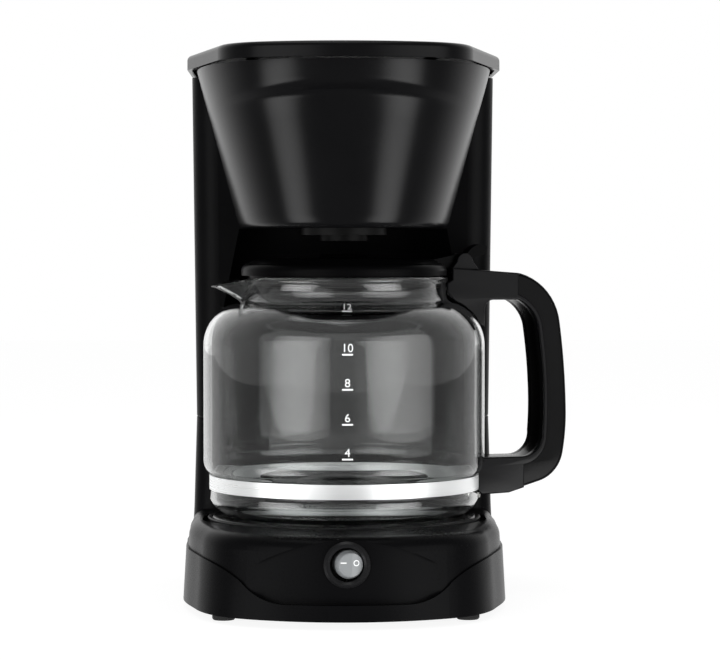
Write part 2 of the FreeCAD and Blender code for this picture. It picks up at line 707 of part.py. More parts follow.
def make_heater():
    block = new_body("heater_horseshoe")
    sketch = new_sketch(block, height="heater_z")
    outline(sketch, [("-heater_out", "heater_leg"), ("-heater_out", "0.01", "heater_out"),
                     ("0", "-heater_out + 0.01", "heater_out"), ("heater_out", "0.01"),
                     ("heater_out", "heater_leg"), ("heater_in", "heater_leg"),
                     ("heater_in", "0.01", "-heater_in"), ("0", "-heater_in + 0.01", "-heater_in"),
                     ("-heater_in", "0.01"), ("-heater_in", "heater_leg")])
    pad(block, sketch, "heater_top - heater_z")
    round_edges(block, "3", lambda e: e.BoundBox.ZMax < number("heater_z") + 0.1
                and e.BoundBox.YMin < number("heater_leg") - 0.1)
    place(block, y="axis_y")
    stubs = [cylinder("heater_stub", "stub_radius", "24", x=x, y="axis_y + heater_leg - 2",
                      z="stub_z", axis=X_AXIS, angle=-90) for x in ("hose_x", "-hose_x")]
    bores = [cylinder("stub_bore", "stub_radius - 1.2", "60", x=x, y="axis_y + heater_leg - 26",
                      z="stub_z", axis=X_AXIS, angle=-90) for x in ("hose_x", "-hose_x")]
    keep("heater_block", cut("heater", fuse("heater_fused", block, *stubs), *bores))

    clamp = new_body("heater_clamp_strip")
    low, reach = "heater_z - 1.7", "heater_out + 8"
    sketch = new_sketch(clamp, "XZ_Plane", "-6")
    outline(sketch, [(minus(reach), f"{low} + 9"), (minus(reach), low), (reach, low),
                     (reach, f"{low} + 9"), (f"{reach} - 1.5", f"{low} + 9"),
                     (f"{reach} - 1.5", f"{low} + 1.5"), (minus(f"{reach} - 1.5"), f"{low} + 1.5"),
                     (minus(f"{reach} - 1.5"), f"{low} + 9")])
    pad(clamp, sketch, "14", midplane=True)
    hole = new_sketch(clamp, height="heater_z")
    circle(hole, "0", "6", "2.2")
    pad(clamp, hole, "6", pocket=True)
    keep("heater_clamp", place(clamp, y="axis_y"))
    screw = revolve("clamp_bolt", [
        ("0", f"{low} - 3"), ("3.5", f"{low} - 2.6"), ("3.8", f"{low} - 0.05"), ("2", f"{low} - 0.05"),
        ("2", "plate_z - 1.75"), ("0", "plate_z - 1.75")])
    keep("clamp_screw", place(screw, y="axis_y + 6"))

    can = revolve("thermostat_can", [
        ("0", f"{low} - 9"), ("6.5", f"{low} - 9"), ("8", f"{low} - 7.5"), ("8", f"{low} - 2"),
        ("10", f"{low} - 2"), ("10", f"{low} - 0.05"), ("0", f"{low} - 0.05")])
    place(can, x="-28", y="axis_y + 6")
    blades = [box("thermostat_blade", ("0.8", "6", "8"), (x, "axis_y + 3", f"{low} - 16"))
              for x in ("-32", "-24.8")]
    keep("thermostat", fuse("thermostat_parts", can, *blades))
    fuse_z = f"{low} - 3.3"
    tube = cylinder("fuse_tube", "3", "16", x="20", y="axis_y + 6", z=fuse_z, axis=Y_AXIS, angle=90)
    wire = cylinder("fuse_lead", "0.7", "40", x="8", y="axis_y + 6", z=fuse_z, axis=Y_AXIS, angle=90)
    keep("thermal_fuse", fuse("fuse_parts", tube, wire))


# Water circuit: hoses, clamps, riser and the shower arm over the basket

def bent_hose(label, x, top):
    """Tube from a heater stub back along Y, then up through one round bend."""
    middle_z = number("stub_z")
    start_y, rise_y = number("axis_y + heater_leg + 4"), number("hose_y")
    bend = number("hose_y - axis_y - heater_leg - 26")
    side = number(x)
    low = Vector(side, start_y, middle_z)
    turn_in = Vector(side, rise_y - bend, middle_z)
    turn_mid = Vector(side, rise_y - bend + bend * math.sin(math.pi / 4),
                      middle_z + bend - bend * math.cos(math.pi / 4))
    turn_out = Vector(side, rise_y, middle_z + bend)
    high = Vector(side, rise_y, number(top))
    path = Part.Wire([Part.LineSegment(low, turn_in).toShape(),
                      Part.Arc(turn_in, turn_mid, turn_out).toShape(),
                      Part.LineSegment(turn_out, high).toShape()])
    rings = [Part.Wire([Part.Circle(low, Y_AXIS, number(r)).toShape()])
             for r in ("hose_radius", "stub_radius + running_gap")]
    outer, bore = [path.makePipeShell([ring], True, False) for ring in rings]
    piece = doc.addObject("Part::Feature", label)
    piece.Shape = outer.cut(bore)
    return keep(label, piece)


def make_water_circuit():
    bent_hose("inlet_hose", "-hose_x", "tank_z - 3")
    bent_hose("outlet_hose", "hose_x", "tank_z - 8")
    ring = revolve("clamp_ring", [
        ("hose_radius + 0.05", "-2.5"), ("hose_radius + 1", "-2.5"), ("hose_radius + 1", "2.5"),
        ("hose_radius + 0.05", "2.5")])
    ears = [box("clamp_ear", ("0.9", "5", "4"), (x, "hose_radius + 0.8", "-2"))
            for x in ("-2.2", "1.3")]
    clamp = fuse("clamp_with_ears", ring, *ears)
    upper = [(x, "hose_y", z) for x, z in (("-hose_x", "tank_z - 7"), ("hose_x", "tank_z - 14"))]
    lower = [(x, "axis_y + heater_leg + 12", "stub_z") for x in ("-hose_x", "hose_x")]
    group("hose_clamps", clamp, upper, lower)

    ball = doc.addObject("Part::Sphere", "valve_ball")
    ball.setExpression("Radius", bind("stub_radius - 1.6"))
    keep("check_ball", place(ball, "-hose_x", "hose_y", "tank_z - 6"))

    tube = revolve("riser", [
        ("stub_radius - 1.2", "tank_z - 22"), ("stub_radius", "tank_z - 22"),
        ("stub_radius", "basket_top + 4.4"), ("stub_radius - 1.2", "basket_top + 4.4")])
    keep("riser_tube", place(tube, x="hose_x", y="hose_y"))
    floor = "tank_z + tank_wall"
    collar = revolve("riser_collar", [
        ("stub_radius + 0.05", "tank_z - 1.5"), ("stub_radius + 4", "tank_z - 1.5"),
        ("stub_radius + 4", "tank_z - 0.05"), ("stub_radius + 1.95", "tank_z - 0.05"),
        ("stub_radius + 1.95", f"{floor} + 0.05"), ("stub_radius + 4", f"{floor} + 0.05"),
        ("stub_radius + 3", f"{floor} + 2"), ("stub_radius + 0.05", f"{floor} + 2")])
    keep("riser_grommet", place(collar, x="hose_x", y="hose_y"))


def make_shower():
    """Flat duct from the riser's top to a drilled rose above the basket."""
    duct = new_body("shower_duct")
    low, high = "basket_top + 3", "basket_top + 10.5"
    dx, dy = "hose_x", "(hose_y - basket_y)"
    length = f"hypot({dx}, {dy})"
    sketch = new_sketch(duct, height=low)
    outline(sketch, [("-7", "0.01"), ("-7", f"-({length})", "7"), ("0", f"-({length}) - 7", "7"),
                     ("7", f"-({length})"), ("7", "0.01", "7"), ("0", "7", "7")])
    pad(duct, sketch, f"{high} - ({low})")
    angle = -math.degrees(math.atan2(number(dx), number(dy)))
    place(duct, x="hose_x", y="hose_y", axis=Z_AXIS, angle=angle)
    rose = revolve("shower_rose", [
        ("0", f"{low} - 1.5"), ("15", f"{low} - 1.5"), ("17", low), ("17", f"{low} + 2"),
        ("7", f"{high} - 0.5"), ("0", f"{high} - 0.5")])
    place(rose, y="basket_y")
    socket = cylinder("riser_socket", "stub_radius + running_gap", "4", x="hose_x", y="hose_y",
                      z=f"{low} - 2")
    holes = []
    for index in range(6):
        turn = math.radians(60 * index)
        holes.append(cylinder("rose_hole", "1.6", "12", x=str(round(10 * math.cos(turn), 4)),
                              y=f"basket_y + {round(10 * math.sin(turn), 4)}", z=f"{low} - 8"))
    keep("shower_head", cut("shower", fuse("shower_fused", duct, rose), socket, *holes))


# Brew basket with its outlet, and the spring-loaded drip valve

def make_basket():
    floor, top = "basket_z", "basket_top"
    outer = revolve("basket_cup", [
        ("0", floor), ("basket_half_low - 4", floor), ("basket_half_low", f"{floor} + 4"),
        ("basket_half_top", f"{top} - 2"), ("basket_half_top + 3", f"{top} - 2"),
        ("basket_half_top + 3", top), ("basket_half_top - basket_wall", top),
        ("basket_half_low - basket_wall", f"{floor} + 4.5"), ("basket_half_low - 6", f"{floor} + 2.2"),
        ("0", f"{floor} + 2.2")])
    place(outer, y="basket_y")
    spout = revolve("basket_spout", [
        ("stem_radius + 0.4", f"{floor} + 2"), ("boss_radius", f"{floor} + 2"),
        ("boss_radius", "boss_z"), ("nozzle_radius", "boss_z"), ("nozzle_radius", "nozzle_z"),
        ("nozzle_radius - 4.5", "nozzle_z"), ("nozzle_radius - 4.5", floor), ("stem_radius + 0.4", floor)])
    place(spout, y="axis_y")
    bore = cylinder("stem_bore", "stem_radius + 0.4", "20", y="axis_y", z=f"{floor} - 10")
    drains = [cylinder("basket_drain", "1.8", "20", x=str(x), y="axis_y", z=f"{floor} - 10")
              for x in (-6, 6)]
    keep("brew_basket", cut("basket", fuse("basket_fused", outer, spout), bore, *drains))


def make_drip_valve():
    floor = "basket_z + 2.2"
    stem = revolve("valve_stem", [
        ("0", "valve_tip"), ("4", "valve_tip"), ("6", "valve_tip + 1.5"), ("6", "valve_tip + 3"),
        ("stem_radius", "valve_tip + 3.6"), ("stem_radius", f"{floor} + valve_lift + 2.4"),
        ("7", f"{floor} + valve_lift + 2.4"), ("7", f"{floor} + valve_lift + 4.4"),
        ("0", f"{floor} + valve_lift + 5")])
    keep("drip_valve", place(stem, y="axis_y"))
    seal = revolve("valve_washer", [
        ("stem_radius + 0.02", f"{floor} + valve_lift + 0.35"), ("8.6", f"{floor} + valve_lift + 0.35"),
        ("9.2", f"{floor} + valve_lift + 2.35"), ("stem_radius + 0.02", f"{floor} + valve_lift + 2.35")])
    keep("valve_seal", place(seal, y="axis_y"))

    low, high, turns, coil = "valve_tip + 4.6", "basket_z - 0.6", 4, 5.2
    helix = Part.makeHelix((number(high) - number(low)) / turns, number(high) - number(low), coil)
    ring = Part.Wire([Part.Circle(Vector(coil, 0, 0), Y_AXIS, 0.5).toShape()])
    spring = doc.addObject("Part::Feature", "valve_spring")
    spring.Shape = Part.Wire(helix.Edges).makePipeShell([ring], True, True)
    spring.Placement = Placement(Vector(0, number("axis_y"), number(low)), Rotation())
    keep("valve_spring", spring)


# Switch in the front recess, and the bush that the supply lead enters by

def make_switch():
    seat_y = f"{switch_seat_y()} - 0.05"
    ring = revolve("bezel", [
        ("bezel_bore", "-4"), ("bezel_radius - 1.3", "-4"), ("bezel_radius - 1.3", "0"),
        ("bezel_radius", "0"), ("bezel_radius", "1.6"), ("bezel_radius - 1.2", "2.8"),
        ("bezel_bore + 1.2", "2.8"), ("bezel_bore", "1.6")])
    keep("switch_bezel", place(ring, y=seat_y, z="switch_z", axis=X_AXIS, angle=90))
    pivot_y = f"{seat_y} + 5.3"
    cup = revolve("switch_cup", [
        ("0", "-22"), ("bezel_radius - 1.6", "-22"), ("bezel_radius - 1.6", "-4.05"),
        ("bezel_bore + 0.2", "-4.05"), ("bezel_bore + 0.2", "-9.5"), ("0", "-9.5")])
    place(cup, y=seat_y, z="switch_z", axis=X_AXIS, angle=90)
    blades = [box("switch_blade", ("0.8", "9", "6"), (x, f"{seat_y} + 21", "switch_z - 3"))
              for x in ("-5.4", "4.6")]
    bore = cylinder("pivot_bore", "1", "30", y=pivot_y, z="switch_z - 15")
    keep("switch_body", cut("switch", fuse("switch_fused", cup, *blades), bore))
    pin = cylinder("pivot_pin", "1", "2 * bezel_radius - 3.6", y=pivot_y,
                   z="switch_z - bezel_radius + 1.8")
    keep("rocker_pin", pin)

    rocker = new_body("rocker")
    pad(rocker, circle(new_sketch(rocker, "XZ_Plane", "-2.2"), "0", "0", "rocker_radius"), "10.2")
    dish = new_sketch(rocker)
    outline(dish, [("-8", "-8"), ("0", "-6.9"), ("8", "-8"), ("8", "-9"), ("-8", "-9")])
    pad(rocker, dish, "30", midplane=True, pocket=True)
    bore = circle(new_sketch(rocker), "0", "0", "1 + running_gap")
    pad(rocker, bore, "30", midplane=True, pocket=True)
    place(rocker, y=pivot_y, z="switch_z", axis=Z_AXIS, angle=number("rocker_tilt"))
    keep("switch_rocker", rocker)

    bush = revolve("gland", [
        ("3.6", "-6"), ("7.6", "-6"), ("8.4", "-3.4"), ("6.9", "-3.2"), ("6.9", "0.15"),
        ("9.5", "0.15"), ("8.6", "1.6"), ("5", "2.2"), ("3.6", "2.2")])
    keep("cord_inlet", place(bush, x="-52", y="back_y - 0.1", z="22", axis=X_AXIS, angle=-90))


# Carafe, drawn with its handle along +X and turned as a whole about its own axis

def on_carafe(piece):
    return place(piece, y="axis_y", axis=Z_AXIS, angle=number("handle_turn"))


SHOULDER_END = ("glass_radius - 17", "shoulder_z + 23")
NECK_Z = "shoulder_z + 28.4"


def make_glass():
    fall = "(17 * 17 + 23 * 23) / (2 * 17)"
    bottom = "glass_z"
    outer = revolve("glass_outside", [
        ("0", f"{bottom} + 1.2"), ("46", f"{bottom} + 0.4"), ("52", bottom), ("60", bottom, "13.2"),
        ("foot_radius", f"{bottom} + 9.2"), ("waist_radius", "waist_z"),
        ("waist_radius", "waist_top + 0.3"), ("waist_radius + 2.4", "waist_top + 2.5", "9.25"),
        ("glass_radius", "side_z"), ("glass_radius", "shoulder_z", fall), (*SHOULDER_END, "-5.64"),
        ("neck_radius", NECK_Z), ("neck_radius", "rim_z - 3.5"), ("neck_radius + 1.3", "rim_z - 2"),
        ("neck_radius + 1.3", "rim_z - 0.6"), ("neck_radius + 0.7", "rim_z"), ("0", "rim_z")])
    skin = "glass_wall"
    inner = revolve("glass_inside", [
        ("0", f"{bottom} + 3.6"), ("60", f"{bottom} + 2.3", "10.9"),
        (f"foot_radius - {skin}", f"{bottom} + 9.5"), (f"waist_radius - {skin}", "waist_z"),
        (f"waist_radius - {skin}", "waist_top + 0.8"),
        (f"waist_radius - {skin} + 2.4", "waist_top + 3", "9.25"),
        (f"glass_radius - {skin}", "side_z + 0.5"),
        (f"glass_radius - {skin}", "shoulder_z", f"{fall} - {skin}"),
        ("glass_radius - 17.67", "shoulder_z + 20.8", "-7.94"), (f"neck_radius - {skin}", NECK_Z),
        (f"neck_radius - {skin}", "rim_z + 2"), ("0", "rim_z + 2")])

    def beak(name, skin, low):
        body = new_body(name)
        root = f"neck_radius - 9 - {skin}"
        foot = [(minus(root), "12"), (minus(f"neck_radius + 3.5 - {skin}"), "2.5", "2.6"),
                (minus(f"neck_radius + 3.5 - {skin}"), "-2.5"), (minus(root), "-12")]
        lip = [(minus(root), f"27 - {skin}"), (minus(f"neck_radius + 20 - {skin}"), "2.5", "2.6"),
               (minus(f"neck_radius + 20 - {skin}"), "-2.5"), (minus(root), f"-27 + {skin}")]
        loft(body, outline(new_sketch(body, height=low), foot),
             outline(new_sketch(body, height="rim_z + 1"), lip))
        return body

    slope = new_body("beak_slope")
    pad(slope, outline(new_sketch(slope, "XZ_Plane"), [
        ("-neck_radius + 1", "rim_z"), ("-neck_radius + 12", "rim_z"), ("-neck_radius + 12", "rim_z + 9"),
        ("-neck_radius - 30", "rim_z + 9"), ("-neck_radius - 30", "rim_z - 7.6")]), "90", midplane=True)
    jug = cut("jug", fuse("jug_outside", outer, beak("beak_outer", "0", "shoulder_z + 22.5")), inner,
              beak("beak_inner", "glass_wall", "shoulder_z + 25"), slope)
    heights = [("carafe_bottom", "glass_z - 1", "glass_z + dish_height"),
               ("carafe_waist", "glass_z + dish_height", "side_z + 1"),
               ("carafe_glass", "side_z + 1", "rim_z + 1")]
    for node, low, high in heights:
        level = box(f"{node}_level", ("4 * glass_radius", "4 * glass_radius", f"({high}) - ({low})"),
                    ("-2 * glass_radius", "-2 * glass_radius", low))
        keep(node, on_carafe(overlap(f"{node}_ring", jug, level)))

    hoop = revolve("band_hoop", [
        ("waist_radius + 0.05", "waist_z + 0.1"), ("waist_radius + 0.85", "waist_z + 0.1"),
        ("waist_radius + 0.85", "waist_top"), ("waist_radius + 0.05", "waist_top")])
    tab = box("band_tab", ("6", "10", "waist_top - waist_z - 1.6"),
              ("waist_radius + 0.4", "-5", "waist_z + 0.8"))
    bore = cylinder("tab_bore", "1.6", "20", x="waist_radius + 4", z="waist_z - 5")
    keep("carafe_band", on_carafe(cut("band", fuse("band_fused", hoop, tab), bore)))


def make_handle():
    handle = new_body("handle")
    sketch = new_sketch(handle, "XZ_Plane")
    shoulder = "-(17 * 17 + 23 * 23) / (2 * 17) - 0.6"
    outline(sketch, [
        ("neck_radius + 0.25", "rim_z - 9.3"), ("60.4", "shoulder_z + 23.1", shoulder),
        ("74.3", "shoulder_z + 10.4"), ("77.4", "shoulder_z + 9.4"), ("77.6", "shoulder_z + 19", "-5.2"),
        ("82.5", "shoulder_z + 24"), ("97", "shoulder_z + 24", "-20"), ("grip_in - 3.5", "149", "-300"),
        ("grip_in", "108", "-200"), ("grip_in - 0.6", "90", "-12"), ("100", "76.8"),
        ("glass_radius + 0.8", "76.8"), ("waist_radius + 3.4", "waist_top + 2"),
        ("waist_radius + 1.2", "waist_top"), ("waist_radius + 1.2", "58"), ("76", "56.4"),
        ("92", "57"), ("111", "62.5", "20"), ("grip_out - 2.2", "77", "120"),
        ("grip_out", "100", "400"), ("grip_out - 3.8", "150", "32"), ("100", "177.5"),
        ("58.4", "180.6"), ("58.4", "rim_z - 1.8"), ("neck_radius + 0.25", "rim_z - 3.6")])
    pad(handle, sketch, "handle_thick", midplane=True)
    for side, backward in ((1, False), (-1, True)):
        channel = new_sketch(handle, "XZ_Plane", f"{side} * handle_thick / 2")
        outline(channel, [
            ("97.5", "166", "-23"), ("grip_in - 0.4", "149", "-300"), ("grip_in + 3", "108", "-200"),
            ("grip_in + 2.4", "88", "-16"), ("101", "72"), ("101", "50"), ("140", "50"),
            ("140", "190"), ("97.5", "190")])
        pad(handle, channel, "channel_depth", backward=backward, pocket=True)
    ears = new_sketch(handle, "XZ_Plane")
    outline(ears, [("lid_hinge_r - 8", "180"), ("lid_hinge_r + 8", "179.5"),
                   ("lid_hinge_r + 4.6", "lid_hinge_z", "4.6"),
                   ("lid_hinge_r", "lid_hinge_z + 4.6", "4.6"), ("lid_hinge_r - 4.6", "lid_hinge_z")])
    pad(handle, ears, "17", midplane=True)
    slot = new_sketch(handle, "XZ_Plane")
    outline(slot, [("50", "rim_z + 2"), ("lid_hinge_r + 9", "rim_z + 2.6"), ("lid_hinge_r + 9", "200"),
                   ("50", "200")])
    pad(handle, slot, "9.4", midplane=True, pocket=True)
    bore = circle(new_sketch(handle, "XZ_Plane"), "lid_hinge_r", "lid_hinge_z", "pin_radius")
    pad(handle, bore, "40", midplane=True, pocket=True)
    tab = new_sketch(handle, "XZ_Plane")
    outline(tab, [("waist_radius", "waist_z + 0.5"), ("waist_radius + 6.8", "waist_z + 0.5"),
                  ("waist_radius + 6.8", "waist_top - 0.5"), ("waist_radius", "waist_top - 0.5")])
    pad(handle, tab, "10.6", midplane=True, pocket=True)
    screw_bore = circle(new_sketch(handle, height="waist_top + 4"), "waist_radius + 4", "0", "1.55")
    pad(handle, screw_bore, "20", pocket=True)
    keep("carafe_handle", on_carafe(handle))
    screw = revolve("band_screw", [("0", "53.6"), ("3", "54"), ("3.2", "56.2"), ("1.5", "56.2"),
                                   ("1.5", "waist_top + 2"), ("0", "waist_top + 3")])
    slot = box("screw_slot", ("8", "0.8", "2"), ("-4", "-0.4", "52.6"))
    turned = cut("handle_screw_solid", screw, slot)
    spot = Rotation(Z_AXIS, number("handle_turn")).multVec(Vector(number("waist_radius + 4"), 0, 0))
    group("handle_screw", turned, [(str(spot.x), f"axis_y + {spot.y}", "0")])


def make_carafe_lid():
    dome = revolve("lid_dome", [
        ("4", "183.4"), ("10", "183.4"), ("45.5", "182"), ("50.2", "178.6"), ("50.2", "rim_z - 5"),
        ("neck_radius - 3.2", "rim_z - 5"), ("neck_radius - 3.2", "rim_z + 0.6"),
        ("neck_radius + 0.5", "rim_z + 0.6"), ("neck_radius + 0.5", "rim_z + 2.4", "4"),
        ("neck_radius - 3", "rim_z + 7", "14"), ("46", "185.6"), ("14", "186.4"), ("12.5", "188"),
        ("10.5", "188"), ("9", "185.8"), ("4", "185.2")])
    arm = new_body("lid_arm")
    sketch = new_sketch(arm, "XZ_Plane")
    outline(sketch, [("48", "rim_z + 3"), ("lid_hinge_r - 3", "lid_hinge_z - 3.6"),
                     ("lid_hinge_r", "lid_hinge_z - 4.4"), ("lid_hinge_r + 4.4", "lid_hinge_z - 1"),
                     ("lid_hinge_r + 8", "lid_hinge_z + 2.6"), ("lid_hinge_r + 14", "lid_hinge_z + 4"),
                     ("lid_hinge_r + 14.4", "lid_hinge_z + 8.6"),
                     ("lid_hinge_r + 10", "lid_hinge_z + 9.4", "12"),
                     ("lid_hinge_r + 3", "lid_hinge_z + 4.6"), ("lid_hinge_r - 5", "lid_hinge_z + 3.4"),
                     ("48", "184.6")])
    pad(arm, sketch, "8.6", midplane=True)
    bore = cylinder("arm_bore", "pin_radius + running_gap", "30", x="lid_hinge_r", y="-15",
                    z="lid_hinge_z", axis=X_AXIS, angle=-90)
    keep("carafe_lid", on_carafe(cut("carafe_lid_bored", fuse("carafe_lid_fused", dome, arm), bore)))
    pin = new_body("lid_pin")
    pad(pin, circle(new_sketch(pin, "XZ_Plane"), "lid_hinge_r", "lid_hinge_z", "pin_radius"),
        "16.6", midplane=True)
    keep("carafe_lid_pin", on_carafe(pin))


def finish():
    """Check every object, then write one file for each sub-part."""
    doc.recompute()
    for piece in doc.Objects:
        if "Invalid" in piece.State or "Error" in piece.State:
            raise RuntimeError(f"{piece.Label} failed: {piece.State}")
    os.makedirs("parts", exist_ok=True)
    for label, piece in nodes.items():
        if piece.Shape.isNull() or not piece.Shape.isValid():
            raise RuntimeError(f"{label} has no valid shape")
        piece.Shape.exportStep(f"parts/{label}.step")
        extent = piece.Shape.BoundBox
        print(f"{label}: {len(piece.Shape.Solids)} solids, {piece.Shape.Volume / 1000:.1f} cm3, "
              f"Z {extent.ZMin:.1f} to {extent.ZMax:.1f}")


make_base_shell()
make_base_bottom()
make_tower()
make_tank()
make_hopper()
make_top_lid()
make_warming_plate()
make_heater()
make_water_circuit()
make_shower()
make_basket()
make_drip_valve()
make_switch()
make_glass()
make_handle()
make_carafe_lid()
finish()
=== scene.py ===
import bpy
import bmesh
import math
from mathutils import Matrix, Vector, kdtree


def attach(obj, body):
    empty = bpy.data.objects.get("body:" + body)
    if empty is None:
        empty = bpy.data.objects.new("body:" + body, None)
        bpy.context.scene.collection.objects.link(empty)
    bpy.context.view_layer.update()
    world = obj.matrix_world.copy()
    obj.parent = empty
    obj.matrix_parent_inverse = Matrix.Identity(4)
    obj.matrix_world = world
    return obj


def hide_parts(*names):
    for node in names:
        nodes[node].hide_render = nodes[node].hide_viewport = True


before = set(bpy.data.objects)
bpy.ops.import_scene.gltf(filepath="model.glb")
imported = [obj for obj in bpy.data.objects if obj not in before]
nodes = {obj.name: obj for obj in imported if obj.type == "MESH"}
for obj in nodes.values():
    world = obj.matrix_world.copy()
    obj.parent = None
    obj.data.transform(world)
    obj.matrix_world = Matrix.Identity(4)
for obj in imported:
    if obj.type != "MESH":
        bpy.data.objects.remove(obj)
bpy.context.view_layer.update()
scene = bpy.context.scene
mm = 0.001
jugAxis = Vector((0, -11 * mm, 0))
jugTurn = math.radians(18)  # the jug stands with its handle turned to the back
print("frame loaded with", len(nodes), "solids")


# node values: arithmetic on a Wire adds the Math nodes
class Wire:
    def __init__(self, graph, socket):
        self.graph = graph
        self.socket = socket

    def maths(self, operation, first, second):
        return self.graph.node("ShaderNodeMath", {"operation": operation}, {0: first, 1: second})

    def __add__(self, other):
        return self.maths("ADD", self, other)

    def __radd__(self, other):
        return self.maths("ADD", other, self)

    def __sub__(self, other):
        return self.maths("SUBTRACT", self, other)

    def __rsub__(self, other):
        return self.maths("SUBTRACT", other, self)

    def __mul__(self, other):
        return self.maths("MULTIPLY", self, other)

    def __rmul__(self, other):
        return self.maths("MULTIPLY", other, self)


class Graph:
    def __init__(self, tree):
        self.tree = tree

    def node(self, kind, settings=None, sockets=None, out=0):
        made = self.tree.nodes.new(kind)
        for key, value in (settings or {}).items():
            setattr(made, key, value)
        for key, value in (sockets or {}).items():
            if isinstance(value, Wire):
                self.tree.links.new(value.socket, made.inputs[key])
            else:
                made.inputs[key].default_value = value
        return None if out is None else Wire(self, made.outputs[out])

    def axis(self, vector, letter):
        return self.node("ShaderNodeSeparateXYZ", {}, {0: vector}, out=letter)

    def vector(self, **parts):
        return self.node("ShaderNodeCombineXYZ", {}, parts)


class Finish(Graph):
    def __init__(self, name, fixed):
        self.material = bpy.data.materials.new(name)
        self.material.use_nodes = True
        super().__init__(self.material.node_tree)
        self.shader = self.tree.nodes["Principled BSDF"]
        for socketName, value in fixed.items():
            self.shader.inputs[socketName].default_value = value

    def coords(self):
        return self.node("ShaderNodeTexCoord", out="Object")

    def stretched(self, scale):
        return self.node("ShaderNodeMapping", {}, {"Vector": self.coords(), "Scale": scale})

    def noise(self, scale, detail, vector=None):
        return self.node("ShaderNodeTexNoise", {},
                         {"Vector": vector or self.coords(), "Scale": scale, "Detail": detail})

    def blend(self, share, first, second):
        return self.node("ShaderNodeMix", {"data_type": "RGBA"},
                         {"Factor": share, 6: (*first, 1), 7: (*second, 1)}, out=2)

    def feed(self, socketName, wire):
        self.tree.links.new(wire.socket, self.shader.inputs[socketName])

    def relief(self, height, depth):
        self.feed("Normal", self.node("ShaderNodeBump", {}, {"Distance": depth, "Height": height}))


# moulded plastics and rubbers: cloudy colour, handled patches in the gloss, fine skin
mouldings = {
    "shellGloss": {
        "dark": (0.0018, 0.0018, 0.002), "light": (0.0036, 0.0036, 0.004), "specular": 0.05,
        "rough": 0.33, "patch": 0.06, "skin": 700, "depth": 0.00001},
    "baseGloss": {
        "dark": (0.0018, 0.0018, 0.002), "light": (0.0036, 0.0036, 0.004), "specular": 0.035,
        "rough": 0.28, "patch": 0.06, "skin": 700, "depth": 0.00001},
    "hopperGloss": {
        "dark": (0.0018, 0.0018, 0.002), "light": (0.0036, 0.0036, 0.004), "specular": 0.11,
        "rough": 0.24, "patch": 0.05, "skin": 700, "depth": 0.00001},
    "handleSatin": {
        "dark": (0.0025, 0.0025, 0.0028), "light": (0.0045, 0.0045, 0.005), "specular": 0.09,
        "rough": 0.25, "patch": 0.1, "skin": 900, "depth": 0.00002},
    "gripGloss": {
        "dark": (0.0012, 0.0012, 0.0013), "light": (0.0024, 0.0024, 0.0026), "specular": 0.06,
        "rough": 0.2, "patch": 0.08, "skin": 900, "depth": 0.00001},
    # the carafe lid: the handle's plastic made darker in colour and weaker in gloss, as painted shade for the
    # lid that sits under the hopper
    "lidSatin": {
        "dark": (0.001, 0.001, 0.0011), "light": (0.002, 0.002, 0.0022), "specular": 0.03,
        "rough": 0.3, "patch": 0.1, "skin": 900, "depth": 0.00002},
    "undersideMatte": {
        "dark": (0.012, 0.012, 0.012), "light": (0.022, 0.022, 0.022), "specular": 0.4,
        "rough": 0.55, "patch": 0.1, "skin": 1400, "depth": 0.00006},
    "brewMatte": {
        "dark": (0.004, 0.004, 0.004), "light": (0.008, 0.008, 0.008), "specular": 0.12,
        "rough": 0.4, "patch": 0.1, "skin": 1400, "depth": 0.00004},
    "reservoirSmoke": {
        "dark": (0.05, 0.05, 0.055), "light": (0.08, 0.08, 0.085), "specular": 0.5,
        "rough": 0.3, "patch": 0.1, "skin": 500, "depth": 0.00003},
    "rockerGrey": {
        "dark": (0.185, 0.195, 0.20), "light": (0.225, 0.235, 0.24), "specular": 0.45,
        "rough": 0.34, "patch": 0.08, "skin": 1800, "depth": 0.00003},
    "bezelGloss": {
        "dark": (0.005, 0.005, 0.0055), "light": (0.009, 0.009, 0.0095), "specular": 0.16,
        "rough": 0.26, "patch": 0.08, "skin": 1200, "depth": 0.00001},
    "footRubber": {
        "dark": (0.008, 0.008, 0.008), "light": (0.02, 0.02, 0.02), "specular": 0.3,
        "rough": 0.8, "patch": 0.12, "skin": 2200, "depth": 0.00012},
    "sealRubber": {
        "dark": (0.004, 0.004, 0.004), "light": (0.009, 0.009, 0.009), "specular": 0.15,
        "rough": 0.4, "patch": 0.15, "skin": 1600, "depth": 0.00006},
    "hoseSilicone": {
        "dark": (0.42, 0.40, 0.37), "light": (0.56, 0.54, 0.50), "specular": 0.45,
        "rough": 0.42, "patch": 0.12, "skin": 900, "depth": 0.00006},
    "ballWhite": {
        "dark": (0.62, 0.62, 0.60), "light": (0.74, 0.74, 0.72), "specular": 0.45,
        "rough": 0.35, "patch": 0.08, "skin": 900, "depth": 0.00003},
    "fuseSleeve": {
        "dark": (0.50, 0.47, 0.40), "light": (0.70, 0.67, 0.60), "specular": 0.3,
        "rough": 0.8, "patch": 0.1, "skin": 2600, "depth": 0.0002},
    "riserGrey": {
        "dark": (0.26, 0.26, 0.26), "light": (0.34, 0.34, 0.34), "specular": 0.45,
        "rough": 0.42, "patch": 0.1, "skin": 1000, "depth": 0.00004},
    "markWhite": {
        "dark": (0.80, 0.81, 0.81), "light": (0.90, 0.91, 0.91), "specular": 0.4,
        "rough": 0.5, "patch": 0.1, "skin": 2600, "depth": 0.00003},
}
mouldingNoise = {"cloudScale": 26, "cloudDetail": 3, "skinDetail": 2, "skinGloss": 0.05}


